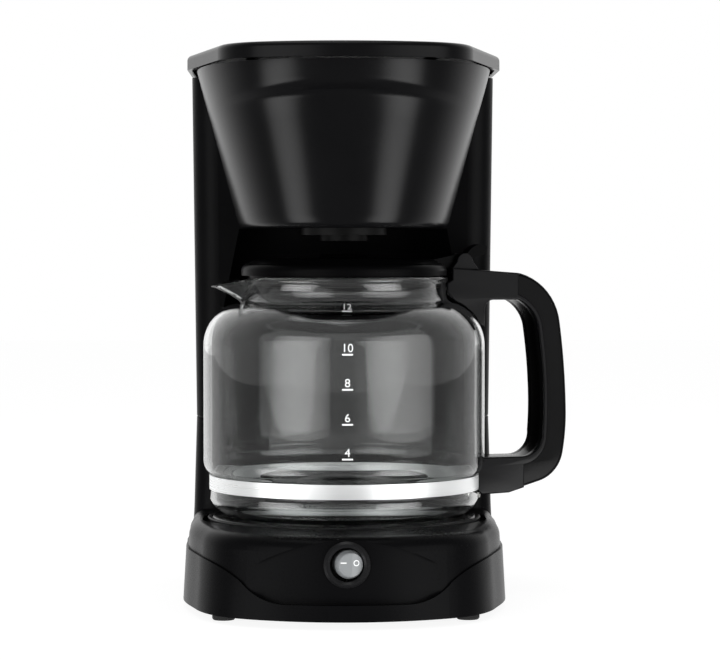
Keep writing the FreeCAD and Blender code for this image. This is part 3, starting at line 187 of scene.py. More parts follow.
def mouldedFinish(name):
    look = mouldings[name]
    finish = Finish(name, {"Specular IOR Level": look["specular"]})
    cloud = finish.noise(mouldingNoise["cloudScale"], mouldingNoise["cloudDetail"])
    skin = finish.noise(look["skin"], mouldingNoise["skinDetail"])
    finish.feed("Base Color", finish.blend(cloud, look["dark"], look["light"]))
    finish.feed("Roughness", look["rough"] + (cloud - 0.5) * look["patch"]
                + (skin - 0.5) * mouldingNoise["skinGloss"])
    finish.relief(skin, look["depth"])
    return finish.material


# metals: streaks along one direction, or an even drawn or cast skin
metals = {
    "bandSteel": {
        "dark": (0.80, 0.81, 0.81), "light": (0.90, 0.91, 0.91), "metal": 0.55,
        "rough": 0.30, "streak": (8, 8, 900)},
    "screwSteel": {
        "dark": (0.42, 0.42, 0.40), "light": (0.58, 0.58, 0.56), "metal": 1,
        "rough": 0.32, "streak": (500, 500, 60)},
    "pinDark": {
        "dark": (0.012, 0.012, 0.012), "light": (0.02, 0.02, 0.02), "metal": 1,
        "rough": 0.4, "streak": (700, 700, 60)},
    "clampSteel": {
        "dark": (0.40, 0.40, 0.40), "light": (0.54, 0.54, 0.54), "metal": 1,
        "rough": 0.35, "streak": (60, 900, 900)},
    "heaterAluminium": {
        "dark": (0.55, 0.55, 0.56), "light": (0.70, 0.70, 0.71), "metal": 1,
        "rough": 0.42, "streak": (300, 60, 300)},
    "springWire": {
        "dark": (0.45, 0.45, 0.45), "light": (0.62, 0.62, 0.62), "metal": 1,
        "rough": 0.25, "streak": (600, 600, 600)},
}
metalNoise = {
    "streakDetail": 3, "streakShare": 0.7, "streakGloss": 0.16, "depth": 0.00002,
    "cloudScale": 40, "cloudDetail": 2, "cloudShare": 0.3, "cloudGloss": 0.08,
}


def metalFinish(name):
    look = metals[name]
    finish = Finish(name, {"Metallic": look["metal"]})
    streak = finish.noise(1, metalNoise["streakDetail"], finish.stretched(look["streak"]))
    cloud = finish.noise(metalNoise["cloudScale"], metalNoise["cloudDetail"])
    share = streak * metalNoise["streakShare"] + cloud * metalNoise["cloudShare"]
    finish.feed("Base Color", finish.blend(share, look["dark"], look["light"]))
    finish.feed("Roughness", look["rough"] + (streak - 0.5) * metalNoise["streakGloss"]
                + (cloud - 0.5) * metalNoise["cloudGloss"])
    finish.relief(streak, metalNoise["depth"])
    return finish.material


# speckled non-stick coat of the plate
plateLook = {
    "dark": (0.004, 0.004, 0.004), "light": (0.012, 0.012, 0.012), "specular": 0.2, "rough": 0.26,
    "speckScale": 1500, "cloudScale": 30, "detail": 3, "speckGloss": 0.1, "cloudGloss": 0.2, "depth": 0.00005,
}


def plateCoating():
    finish = Finish("plateCoating", {"Specular IOR Level": plateLook["specular"]})
    speck = finish.noise(plateLook["speckScale"], plateLook["detail"])
    cloud = finish.noise(plateLook["cloudScale"], plateLook["detail"])
    finish.feed("Base Color", finish.blend(speck * 0.5 + cloud * 0.5, plateLook["dark"], plateLook["light"]))
    finish.feed("Roughness", plateLook["rough"] + (cloud - 0.5) * plateLook["cloudGloss"]
                + (speck - 0.5) * plateLook["speckGloss"])
    finish.relief(speck, plateLook["depth"])
    return finish.material


# clear glass with faint washed patches
glassLook = {
    "dark": (0.955, 0.97, 0.965), "light": (0.985, 0.99, 0.988), "bend": 1.47,
    "washScale": 18, "washDetail": 3, "washRough": 0.02,
}


def jugGlass():
    finish = Finish("jugGlass", {"IOR": glassLook["bend"], "Transmission Weight": 1.0})
    wash = finish.noise(glassLook["washScale"], glassLook["washDetail"])
    finish.feed("Base Color", finish.blend(wash, glassLook["dark"], glassLook["light"]))
    finish.feed("Roughness", wash * glassLook["washRough"])
    return finish.material


finishes = {name: mouldedFinish(name) for name in mouldings}
finishes.update({name: metalFinish(name) for name in metals})
finishes["plateCoating"] = plateCoating()
finishes["jugGlass"] = jugGlass()
print("finishes made:", len(finishes))

# which finish each solid wears that no piece of the scene replaces
wears = {
    "undersideMatte": ["base_bottom_plate", "switch_body"],
    "footRubber": ["rubber_feet", "cord_inlet"],
    "screwSteel": ["handle_screw", "clamp_screw"],
    "pinDark": ["lid_hinge_pins", "rocker_pin"],
    "reservoirSmoke": ["water_reservoir"],
    "sealRubber": ["valve_seal"],
    "heaterAluminium": ["heater_block", "thermostat"],
    "clampSteel": ["heater_clamp", "hose_clamps"],
    "fuseSleeve": ["thermal_fuse"],
    "hoseSilicone": ["inlet_hose", "outlet_hose", "riser_grommet"],
    "ballWhite": ["check_ball"],
    "riserGrey": ["riser_tube"],
    "brewMatte": ["shower_head", "brew_basket", "drip_valve"],
    "springWire": ["valve_spring"],
    "handleSatin": ["carafe_lid_pin"],
}
for finishName, names in wears.items():
    for name in names:
        solid = nodes[name]
        solid.data.materials.clear()
        solid.data.materials.append(finishes[finishName])


def newPiece(name, mesh, finishName, body):
    piece = bpy.data.objects.new(name, mesh)
    scene.collection.objects.link(piece)
    mesh.materials.clear()
    mesh.materials.append(finishes[finishName])
    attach(piece, body)
    return piece


def bridgeRows(shape, rows):
    # faces between each row of points and the next; a row of one point closes an end
    for low, high in zip(rows, rows[1:]):
        count = max(len(low), len(high))
        for step in range(count):
            after = (step + 1) % count
            corners = (low[step % len(low)], low[after % len(low)],
                       high[after % len(high)], high[step % len(high)])
            shape.faces.new(list(dict.fromkeys(corners)))


def solidMesh(name, shape, smooth=True, sharp=None):
    # the finished mesh, with its faces outward and the edges kept that bend by more than sharp
    bmesh.ops.recalc_face_normals(shape, faces=shape.faces)
    mesh = bpy.data.meshes.new(name)
    shape.to_mesh(mesh)
    shape.free()
    if smooth:
        mesh.shade_smooth()
    if sharp:
        mesh.set_sharp_from_angle(angle=math.radians(sharp))
    return mesh


def plainMesh(holder):
    # what an object's curve or modifiers come to, as a mesh of its own
    bpy.context.view_layer.update()
    graph = bpy.context.evaluated_depsgraph_get()
    return bpy.data.meshes.new_from_object(holder.evaluated_get(graph))


# geometry node trees: named sizes in, one plain mesh out
class Recipe(Graph):
    def __init__(self, name, sizes, spots=()):
        super().__init__(bpy.data.node_groups.new(name, "GeometryNodeTree"))
        self.name = name
        self.sizes = sizes
        self.spots = spots
        self.tree.interface.new_socket("Geometry", in_out="OUTPUT", socket_type="NodeSocketGeometry")
        self.tree.interface.new_socket("Spots", in_out="INPUT", socket_type="NodeSocketGeometry")
        for label in sizes:
            self.tree.interface.new_socket(label, in_out="INPUT", socket_type="NodeSocketFloat")
        self.entry = self.tree.nodes.new("NodeGroupInput")

    def size(self, label):
        return Wire(self, self.entry.outputs[label])

    def join(self, *parts):
        joined = self.node("GeometryNodeJoinGeometry")
        for part in parts:
            self.tree.links.new(part.socket, joined.socket.node.inputs[0])
        return joined

    def moved(self, geometry, **change):
        return self.node("GeometryNodeTransform", {}, {"Geometry": geometry, **change})

    def build(self, geometry, finishName):
        whole = self.node("GeometryNodeRealizeInstances", {}, {"Geometry": geometry})
        dressed = self.node("GeometryNodeSetMaterial", {},
                            {"Geometry": whole, "Material": finishes[finishName]})
        self.node("NodeGroupOutput", {}, {0: dressed}, out=None)
        mesh = bpy.data.meshes.new(self.name)
        mesh.from_pydata(self.spots, [], [])
        carrier = bpy.data.objects.new(self.name, mesh)
        scene.collection.objects.link(carrier)
        modifier = carrier.modifiers.new(self.name, "NODES")
        modifier.node_group = self.tree
        for item in self.tree.interface.items_tree:
            if item.in_out == "INPUT" and item.name in self.sizes:
                modifier[item.identifier] = self.sizes[item.name]
        made = plainMesh(carrier)
        bpy.data.objects.remove(carrier)
        return made


# finer copies of the large curved solids: edges that bend are halved, and the new points lifted to the curve
fineCopies = {
    "passes": 2, "bend": math.radians(6), "crease": math.radians(25), "shortest": 0.6 * mm, "merge": 1e-6,
    # finish, body and material slot of each
    "solids": {
        "base_shell": ("baseGloss", "machine", "shell_gloss"),
        "riser_shell": ("baseGloss", "machine", "shell_gloss"),
        "tower_shell": ("shellGloss", "machine", "shell_gloss"),
        "top_lid": ("hopperGloss", "lid", "shell_gloss"),
        # the carafe lid wears a darker, duller copy of the handle's plastic: painted shade
        "carafe_lid": ("lidSatin", "carafe_cover", "handle_plastic"),
        "warming_plate": ("plateCoating", "machine", "plate_coating"),
        "plate_seal_ring": ("sealRubber", "machine", "seal_rubber"),
        "switch_bezel": ("bezelGloss", "machine", "bezel_plastic"),
        "carafe_band": ("bandSteel", "carafe", "band_steel"),
    },
}
# the base's flanks swell a little in front of the riser, round one depth and over a half length
swell = {
    "solid": "base_shell", "push": 4.2, "middle": -40, "reach": 50,
    "splits": 4, "longest": 9 * mm, "flank": 60 * mm,
    "fadeFrom": 56, "fadeOver": 16, "smooth": math.radians(35),
}
# the base's recess runs out on a flat: its depth, and the lean of the faces on either side of it
runOut = {
    "solid": "base_shell", "flat": -111.0, "near": 0.05, "facing": -0.999,
    "inner": (41.0, 0.39), "outer": (47.0, 0.48), "draft": 0.06,
}


def edgeLift(edge, shade):
    # how far the middle of an edge stands off the curve, from the shading normals at its two ends
    start, end = edge.verts
    chord = end.co - start.co
    sides = []
    for loop in edge.link_loops:
        after = loop.link_loop_next
        ends = {loop.vert: Vector(loop[shade]), after.vert: Vector(after[shade])}
        first, last = ends[start].normalized(), ends[end].normalized()
        middle = (first + last).normalized()
        rise = (last * chord.dot(last) - first * chord.dot(first)).dot(middle) / 8
        sides.append((first.angle(last, 0), middle, rise))
    if len(sides) != 2 or chord.length < fineCopies["shortest"]:
        return None
    if max(side[0] for side in sides) < fineCopies["bend"]:
        return None
    (_, one, oneRise), (_, other, otherRise) = sides
    if one.angle(other, 0) < fineCopies["crease"]:
        return (one * oneRise + other * otherRise) / 2
    share = one.dot(other)
    return (one * (oneRise - share * otherRise) + other * (otherRise - share * oneRise)) / (1 - share * share)


def swellShare(vert):
    return (vert.co.y / mm - swell["middle"]) / swell["reach"]


def longFlankEdge(edge):
    start, end = edge.verts[0].co, edge.verts[1].co
    return (edge.calc_length() > swell["longest"] and min(abs(start.x), abs(end.x)) > swell["flank"]
            and abs(start.y - end.y) > swell["longest"] / 2)


def swellFlanks(shape, shade):
    for _ in range(swell["splits"]):
        long = [edge for edge in shape.edges if longFlankEdge(edge)]
        if not long:
            break
        bmesh.ops.subdivide_edges(shape, edges=long, cuts=1)
        bmesh.ops.triangulate(shape, faces=shape.faces)
    for vert in shape.verts:
        share = swellShare(vert)
        if abs(share) < 1:
            width = min(max((abs(vert.co.x) / mm - swell["fadeFrom"]) / swell["fadeOver"], 0), 1)
            push = swell["push"] * width * width * (3 - 2 * width) * math.cos(share * math.pi / 2) ** 2
            vert.co.x += math.copysign(push * mm, vert.co.x)
    shape.normal_update()
    for face in shape.faces:
        for loop in face.loops:
            if abs(swellShare(loop.vert)) < 1 and abs(loop.vert.co.x) > swell["fadeFrom"] * mm:
                near = [other for other in loop.vert.link_faces
                        if other.normal.angle(face.normal, 0) < swell["smooth"]]
                loop[shade] = sum((other.normal * other.calc_area() for other in near), Vector()).normalized()


def onRunOut(polygon):
    depth = polygon.center.y / mm
    return polygon.normal.y < runOut["facing"] and abs(depth - runOut["flat"]) < runOut["near"]


def runOutNormal(x):
    # the flat is shaded as one curve with the faces beside it
    (inner, innerLean), (outer, outerLean) = runOut["inner"], runOut["outer"]
    share = min(max((abs(x) / mm - inner) / (outer - inner), 0), 1)
    lean = innerLean + (outerLean - innerLean) * share
    return Vector((math.copysign(lean, x), -math.sqrt(1 - lean * lean), runOut["draft"])).normalized()


def halveBentEdges(shape, shade):
    lifts = {edge: edgeLift(edge, shade) for edge in shape.edges}
    bent = [edge for edge in shape.edges if lifts[edge] is not None]
    if not bent:
        return
    middles = kdtree.KDTree(len(bent))
    for index, edge in enumerate(bent):
        middles.insert((edge.verts[0].co + edge.verts[1].co) / 2, index)
    middles.balance()
    raised = [lifts[edge] for edge in bent]
    known = set(shape.verts)
    bmesh.ops.subdivide_edges(shape, edges=bent, cuts=1)
    for vert in shape.verts:
        if vert not in known:
            vert.co += raised[middles.find(vert.co)[1]]
    bmesh.ops.triangulate(shape, faces=shape.faces)


def makeFineCopy(name, finishName, body, slotName):
    source = nodes[name].data
    shape = bmesh.new()
    shape.from_mesh(source)
    shade = shape.loops.layers.float_vector.new("shade")
    for face, polygon in zip(shape.faces, source.polygons):
        flat = name == runOut["solid"] and onRunOut(polygon)
        for offset, loop in enumerate(face.loops):
            cornerNormal = source.corner_normals[polygon.loop_start + offset].vector
            loop[shade] = runOutNormal(loop.vert.co.x) if flat else cornerNormal
    bmesh.ops.remove_doubles(shape, verts=shape.verts, dist=fineCopies["merge"])
    for _ in range(fineCopies["passes"]):
        halveBentEdges(shape, shade)
    if name == swell["solid"]:
        swellFlanks(shape, shade)
    mesh = bpy.data.meshes.new(name)
    shape.to_mesh(mesh)
    normals = [Vector(loop[shade]).normalized() for face in shape.faces for loop in face.loops]
    shape.free()
    mesh.attributes.remove(mesh.attributes["shade"])
    mesh.shade_smooth()
    mesh.normals_split_custom_set(normals)
    piece = newPiece(name + "_fine", mesh, finishName, body)
    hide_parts(name)
    print("  ", name, len(source.polygons), "->", len(mesh.polygons), "faces")


for name, wear in fineCopies["solids"].items():
    makeFineCopy(name, *wear)
print("curved solids refined")

# the hopper: one smooth bowl, with a brow at the front that fades into its flanks
hopper = {
    "segments": 160, "power": 2.5, "middle": 25, "rear": 6, "wall": 2.4, "sharp": 40,
    "outlet": {"middle": (0, -27), "radius": 24.5},
    "dip": 0.0017,  # the brow falls with the square of the distance from the middle
    # height, half width and reach to the front
    "floor": (202.0, 57.0, 82.0), "bowl": (271.0, 75.6, 96.5), "rim": (287.2, 80.0, 107.0),
    # the rounded lower edge: rise above the floor and inset, then the inset of the floor inside
    "foot": [(0, 3.2), (0.4, 1.4), (1.4, 0.3)], "footInside": 5,
    # rows between the floor and the brow, as shares of the bowl's height
    "slope": {"rows": 15, "first": 0.04, "step": 0.06, "dip": 0.95},
    # height, half width, reach to the front, share of the dip
    "brow": [(268.5, 74.9, 96.3, 0.95), (270.8, 75.6, 97.0, 1), (272.6, 76.1, 98.8, 1),
             (275.4, 76.9, 102.2, 1), (277.2, 77.4, 103.6, 1), (279.4, 78.0, 104.4, 0.9),
             (283, 79.0, 105.6, 0.5), (285.6, 79.6, 106.6, 0.15), (287.2, 80.0, 107.0, 0)],
}


def hopperRow(height, half, reach, dip, inset):
    # one closed ring of the hopper: a rounded front, and a flat back inside the tower
    points = []
    flare = (hopper["rim"][1] - hopper["floor"][1]) / (hopper["rim"][0] - hopper["floor"][0])
    for step in range(hopper["segments"]):
        turn = 2 * math.pi * step / hopper["segments"]
        across, along = math.cos(turn), math.sin(turn)
        depth = hopper["rear"] if along > 0 else reach + hopper["middle"] - inset
        spread = math.copysign(abs(across) ** (2 / hopper["power"]), across)
        fall = dip * hopper["dip"] * (half * spread) ** 2
        x = (half - inset - fall * flare) * spread
        y = hopper["middle"] + depth * math.copysign(abs(along) ** (2 / hopper["power"]), along)
        points.append((x, y, height - fall))
    return points


def outletRow(height):
    (x, y), radius = hopper["outlet"]["middle"], hopper["outlet"]["radius"]
    turns = [2 * math.pi * step / hopper["segments"] for step in range(hopper["segments"])]
    return [(x + radius * math.cos(turn), y + radius * math.sin(turn), height) for turn in turns]


def makeHopper():
    low, lowHalf, lowReach = hopper["floor"]
    high, highHalf, highReach = hopper["bowl"]
    slope, wall = hopper["slope"], hopper["wall"]
    skins = []
    for share in [slope["first"] + slope["step"] * step for step in range(slope["rows"])]:
        skins.append((low + (high - low) * share, lowHalf + (highHalf - lowHalf) * share,
                      lowReach + (highReach - lowReach) * share, slope["dip"] * share * share))
    skins += hopper["brow"]
    rows = [outletRow(low)]
    rows += [hopperRow(low + rise, lowHalf, lowReach, 0, inset) for rise, inset in hopper["foot"]]
    rows += [hopperRow(*skin, 0) for skin in skins]
    rows += [hopperRow(*skin, wall) for skin in reversed(skins)]
    rows += [hopperRow(low + wall, lowHalf, lowReach, 0, hopper["footInside"]), outletRow(low + wall)]
    shape = bmesh.new()
    rings = [[shape.verts.new(Vector(point) * mm) for point in row] for row in rows]
    bridgeRows(shape, rings + rings[:1])
    mesh = solidMesh("hopper", shape, sharp=hopper["sharp"])
    piece = newPiece("hopper_bowl", mesh, "hopperGloss", "machine")
    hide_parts("hopper_shell")


makeHopper()
print("hopper made")

# the jug's glass: a turned wall whose neck is drawn out into a beak
jug = {
    "segments": 192, "arcSteps": 12, "wall": 2.3, "rim": 176.0,
    # distance from the axis, height, and the radius of an arc to the next point
    "outside": [(0, 48.5), (46, 47.7), (52, 47.3), (60, 47.3, 13.2), (72.6, 56.5), (72, 61.5), (72, 69.6),
                (74.4, 71.8, 9.25), (76, 77), (76, 139, 24.06), (59, 162, -5.64), (55, 167.4), (55, 172.3),
                (55.9, 173.4), (56.3, 174.2), (56.3, 175.2), (55.8, 175.9), (55.0, 176)],
    "inside": [(54.0, 176), (53.2, 175.7), (52.7, 175.0), (52.7, 167.4, 7.94), (58.33, 159.8, -21.76),
               (73.7, 139), (73.7, 77.5, -9.25), (72.1, 72.3), (69.7, 70.1), (69.7, 61.5),
               (70.3, 56.8, -10.9), (60, 49.6), (0, 50.9)],
}
# the beak grows from its lowest height to the rim; its two sides run from the root to the tip
beak = {
    "low": 161.5, "reach": (2.0, 20.0), "halfWidth": (12.0, 27.0), "root": 46, "neck": 55, "tipHalf": 0.5,
    "spread": 0.2, "margin": 6,
    "soft": 1.6,  # rounds the root
    "tipRound": 1.6, "tipScale": 8,
    "drop": 7.6 / 31, "dropFrom": 54,
}


def profilePoints(corners, steps):
    # straight runs between corners, and an arc where a corner carries a radius
    points = []
    for index, corner in enumerate(corners):
        start = Vector((corner[0], corner[1]))
        points.append(start)
        if len(corner) < 3:
            continue
        end = Vector(corners[index + 1][:2])
        half = (end - start) / 2
        side = Vector((-half.y, half.x)).normalized()
        rise = math.sqrt(max(corner[2] ** 2 - half.length ** 2, 0))
        centre = start + half + side * math.copysign(rise, corner[2])
        first = math.atan2(start.y - centre.y, start.x - centre.x)
        sweep = math.atan2(end.y - centre.y, end.x - centre.x) - first
        sweep = (sweep + math.pi) % (2 * math.pi) - math.pi
        for step in range(1, steps):
            angle = first + sweep * step / steps
            points.append(centre + Vector((math.cos(angle), math.sin(angle))) * abs(corner[2]))
    return points


def beakRadius(radius, height, angle, skin):
    # the radius and the drop of a point of the wall, with the beak drawn out of it
    share = min(max((height - beak["low"]) / (jug["rim"] - beak["low"]), 0), 1)
    if share <= 0 or math.cos(angle) < beak["spread"]:
        return radius, 0
    (nearReach, farReach), (nearWidth, farWidth) = beak["reach"], beak["halfWidth"]
    reach = nearReach + (farReach - nearReach) * share - skin
    width = nearWidth + (farWidth - nearWidth) * share - skin
    root, tip = Vector((beak["root"], width)), Vector((beak["neck"] + reach, beak["tipHalf"]))
    run = tip - root
    ray = Vector((math.cos(angle), abs(math.sin(angle))))
    along = root.cross(run) / ray.cross(run)
    soft = beak["soft"]
    joined = (radius + along + math.sqrt((along - radius) ** 2 + soft ** 2)) / 2 - soft / 2
    rounded = beak["tipRound"] * (abs(math.sin(angle)) * beak["tipScale"]) ** 2
    joined = min(joined, beak["neck"] + reach - rounded)
    grown = max(joined, radius) if along > radius - beak["margin"] else radius
    return grown, max(grown - beak["dropFrom"], 0) * beak["drop"] * share


def jugPoint(radius, height, angle, skin):
    reach, drop = beakRadius(radius, height, angle, skin)
    turn = angle + math.pi + jugTurn
    return jugAxis + Vector((reach * math.cos(turn), reach * math.sin(turn), height - drop)) * mm


def makeJug():
    shape = bmesh.new()
    rows = []
    for wallName, skin in (("outside", 0), ("inside", jug["wall"])):
        for radius, height in profilePoints(jug[wallName], jug["arcSteps"]):
            count = jug["segments"] if radius > 0 else 1
            angles = [2 * math.pi * step / count for step in range(count)]
            rows.append([shape.verts.new(jugPoint(radius, height, angle, skin)) for angle in angles])
    bridgeRows(shape, rows)
    piece = newPiece("jug_glass", solidMesh("jugGlass", shape), "jugGlass", "carafe")
    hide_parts("carafe_glass", "carafe_waist", "carafe_bottom")


makeJug()
print("jug made")

# cup numbers printed on the front of the glass, each over a short bar
cupMarks = {
    "sizes": {"Letter size": 6.1 * mm, "Bar width": 5.6 * mm, "Bar height": 0.85 * mm, "Thickness": 0.1 * mm,
              "Jug radius": 76.06 * mm, "Shoulder height": 139 * mm, "Shoulder arc": 24.06 * mm,
              "Swing": 0.01},
    "lift": 1.35 * mm,  # from the bar's middle to the foot of the number
    "merge": 1e-6,
    # number, height, and its stretch: the topmost one lies on the shoulder
    "marks": [("12", 158.8, (1.08, 0.64, 1)), ("10", 136.7, (1, 1, 1)), ("8", 118.7, (1, 1, 1)),
              ("6", 100.7, (1, 1, 1)), ("4", 82.8, (1, 1, 1))],
}


def makeCupMarks():
    recipe = Recipe("cupMarks", cupMarks["sizes"])
    flat = []
    for number, height, stretch in cupMarks["marks"]:
        letters = recipe.node("GeometryNodeStringToCurves", {"align_x": "CENTER"},
                              {"String": number, "Size": recipe.size("Letter size")})
        letters = recipe.moved(letters, Translation=(0, cupMarks["lift"], 0))
        bar = recipe.node("GeometryNodeCurvePrimitiveQuadrilateral", {"mode": "RECTANGLE"},
                          {"Width": recipe.size("Bar width"), "Height": recipe.size("Bar height")})
        mark = recipe.node("GeometryNodeRealizeInstances", {}, {"Geometry": recipe.join(letters, bar)})
        flat.append(recipe.moved(mark, Scale=stretch, Translation=(0, height * mm, 0)))
    faces = recipe.node("GeometryNodeFillCurve", {"mode": "TRIANGLES"}, {"Curve": recipe.join(*flat)})
    thick = recipe.node("GeometryNodeExtrudeMesh", {"mode": "FACES"},
                        {"Mesh": faces, "Offset Scale": recipe.size("Thickness"), "Individual": False})
    under = recipe.node("GeometryNodeFlipFaces", {}, {"Mesh": faces})
    closed = recipe.node("GeometryNodeMergeByDistance", {},
                         {"Geometry": recipe.join(thick, under), "Distance": cupMarks["merge"]})
    # the flat marks are wrapped round the jug
    place = recipe.node("GeometryNodeInputPosition")
    across, upward, proud = (recipe.axis(place, letter) for letter in "XYZ")
    radius, arc = recipe.size("Jug radius"), recipe.size("Shoulder arc")
    turn = across.maths("DIVIDE", across, radius) + recipe.size("Swing")
    rise = upward.maths("MAXIMUM", upward - recipe.size("Shoulder height"), 0.0)
    bulge = arc * arc - rise * rise
    reach = radius - arc + bulge.maths("SQRT", bulge, 0.0) + proud
    wrapped = recipe.vector(X=reach * turn.maths("SINE", turn, 0.0),
                            Y=jugAxis.y - reach * turn.maths("COSINE", turn, 0.0), Z=upward)
    bent = recipe.node("GeometryNodeSetPosition", {}, {"Geometry": closed, "Position": wrapped})
    newPiece("cup_marks", recipe.build(bent, "markWhite"), "markWhite", "carafe")


makeCupMarks()
print("cup numbers printed")

# the jug's handle: a rounded core, with raised cheeks beside the lid's arm and round the grip's opening
handle = {
    "arcSteps": 10, "bevelSteps": 3, "sharp": 35, "merge": 1e-7,
    "core": {"middle": 0, "half": 9.3, "edge": 2.4},
    "cheek": {"middle": 8.15, "half": 3.35, "edge": 1.0},
    "ear": {"middle": 6.65, "half": 1.85, "edge": 0.5},
    # outlines: distance from the jug's axis, height, and the radius of an arc to the next point
    "inner": [(55.25, 166.7), (60.4, 162.1, -24.66), (74.3, 149.4), (77.4, 148.4), (77.6, 158, -5.2),
              (82.5, 163), (97, 163, -20), (108.7, 149, -300), (112.2, 108, -200), (111.6, 90, -12),
              (100, 76.8), (76.8, 76.8), (75.4, 71.3), (73.2, 69.3), (73.2, 58), (76, 56.4), (92, 57)],
    "coreBack": [(111, 62.5, 20), (125.2, 77, 120), (127.4, 100, 400), (123.6, 150, 32), (100, 177.5),
                 (80, 179), (78, 177.6), (58.4, 177.6)],
    "cheekBack": [(101, 59.6), (101, 72, 16), (114.6, 88, 200), (115.2, 108, 300), (111.8, 149, 23),
                  (97.5, 166), (97.5, 177.7), (58.4, 180.6)],
    "root": [(58.4, 174.2), (55.25, 172.4)],
    "earLine": [(59, 180), (75, 179.5), (71.6, 184, 4.6), (67, 188.6, 4.6), (62.4, 184)],
}


def curveSlab(corners, size, sign):
    # a flat outline given thickness and a round edge, kept inside its own outline
    curve = bpy.data.curves.new("slab", "CURVE")
    curve.dimensions = "2D"
    curve.fill_mode = "BOTH"
    curve.extrude = (size["half"] - size["edge"]) * mm
    curve.bevel_depth = size["edge"] * mm
    curve.bevel_resolution = handle["bevelSteps"]
    curve.offset = -size["edge"] * mm
    points = profilePoints(corners, handle["arcSteps"])
    spline = curve.splines.new("POLY")
    spline.points.add(len(points) - 1)
    for target, point in zip(spline.points, points):
        target.co = (point.x * mm, point.y * mm, 0, 1)
    spline.use_cyclic_u = True
    holder = bpy.data.objects.new("slab", curve)
    scene.collection.objects.link(holder)
    mesh = plainMesh(holder)
    bpy.data.objects.remove(holder)
    outward = Vector((math.cos(jugTurn), math.sin(jugTurn), 0))
    side = outward.cross(Vector((0, 0, 1)))
    mesh.transform(Matrix.Translation(jugAxis + side * sign * size["middle"] * mm)
                   @ Matrix((outward, (0, 0, 1), side)).transposed().to_4x4())
    return mesh


def joinSlabs(name, slabs, finishName):
    shape = bmesh.new()
    for slab in slabs:
        shape.from_mesh(slab)
    bmesh.ops.remove_doubles(shape, verts=shape.verts, dist=handle["merge"])
    mesh = solidMesh(name, shape, sharp=handle["sharp"])
    return newPiece(name, mesh, finishName, "carafe")


def makeHandle():
    coreLine = handle["inner"] + handle["coreBack"] + handle["root"]
    cheekLine = handle["inner"] + handle["cheekBack"] + handle["root"]
    cheeks = []
    for sign in (-1, 1):
        cheeks.append(curveSlab(cheekLine, handle["cheek"], sign))
        cheeks.append(curveSlab(handle["earLine"], handle["ear"], sign))
    piece = joinSlabs("handle_core", [curveSlab(coreLine, handle["core"], 1)], "gripGloss")
    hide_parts("carafe_handle")
    joinSlabs("handle_cheeks", cheeks, "handleSatin")


makeHandle()
print("handle made")

# the switch: a tapered rocker whose face is bent along one line, with its two printed signs
rocker = {
    "pivot": (0, -113.362, 32.4), "tilt": math.radians(7), "segments": 72, "sharp": 24,
    "face": 7.6, "faceFrom": 7.3,
    # radius and depth of each ring
    "rings": [(0, -1.5), (7.3, -1.5), (7.4, -1.2), (7.3, 4.6), (6.2, 6.9), (6.0, 7.35), (5.8, 7.5),
              (5.4, 7.6), (4.6, 7.6), (3.6, 7.6), (2.6, 7.6), (1.6, 7.6), (0.8, 7.6), (0, 7.6)],
    "bend": 1.7, "fall": 0.24,
    "lean": 1.0,  # the face sits off the middle, so that one flank shows as a crescent
}
rockerSigns = {
    "bar": {"middle": (-2.7, 1.1), "size": (3.0, 0.55), "core": (0.9, 0.02)},
    "ring": {"middle": (3.9, 0.9), "outer": 1.55, "inner": 1.05, "segments": 40},
    "sunk": -0.05, "proud": 0.1,
}


def rockerPoint(across, upward, depth):
    turn = rocker["tilt"]
    place = Vector((across * math.cos(turn) + depth * math.sin(turn),
                    across * math.sin(turn) - depth * math.cos(turn), upward))
    return (place + Vector(rocker["pivot"])) * mm


def faceDepth(across):
    return rocker["face"] - max(across - rocker["bend"], 0) * rocker["fall"]


def makeRocker():
    shape = bmesh.new()
    rows = []
    for radius, depth in rocker["rings"]:
        count = rocker["segments"] if radius > 0 else 1
        row = []
        for step in range(count):
            angle = 2 * math.pi * step / count
            across = radius * math.cos(angle) + rocker["lean"] * max(depth, 0) / rocker["face"]
            sunk = min(depth, faceDepth(across)) if depth > rocker["faceFrom"] else depth
            row.append(shape.verts.new(rockerPoint(across, radius * math.sin(angle), sunk)))
        rows.append(row)
    bridgeRows(shape, rows)
    mesh = solidMesh("switchRocker", shape, sharp=rocker["sharp"])
    piece = newPiece("rocker_face", mesh, "rockerGrey", "rocker")
    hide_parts("switch_rocker")


def addRibbon(shape, outer, inner):
    # a flat closed band on the rocker's face, between two outlines
    loops = []
    for lift in (rockerSigns["sunk"], rockerSigns["proud"]):
        for loop in (outer, inner):
            loops.append([shape.verts.new(rockerPoint(x, y, faceDepth(x) + lift)) for x, y in loop])
    lowOut, lowIn, highOut, highIn = loops
    count = len(outer)
    for step in range(count):
        after = (step + 1) % count
        for first, second in ((lowOut, highOut), (highOut, highIn), (highIn, lowIn), (lowIn, lowOut)):
            shape.faces.new((first[step], first[after], second[after], second[step]))


def makeRockerSigns():
    shape = bmesh.new()
    bar, ring = rockerSigns["bar"], rockerSigns["ring"]
    (x, y), (wide, tall), (coreWide, coreTall) = bar["middle"], bar["size"], bar["core"]
    corners = [(-0.5, -0.5), (0.5, -0.5), (0.5, 0.5), (-0.5, 0.5)]
    addRibbon(shape, [(x + u * wide, y + v * tall) for u, v in corners],
              [(x + u * wide * coreWide, y + v * tall * coreTall) for u, v in corners])
    (x, y), count = ring["middle"], ring["segments"]
    turns = [2 * math.pi * step / count for step in range(count)]
    addRibbon(shape, *[[(x + radius * math.cos(turn), y + radius * math.sin(turn)) for turn in turns]
                       for radius in (ring["outer"], ring["inner"])])
    mesh = solidMesh("rockerSigns", shape, smooth=False)
    newPiece("rocker_signs", mesh, "markWhite", "rocker")


makeRocker()
makeRockerSigns()
print("switch made")

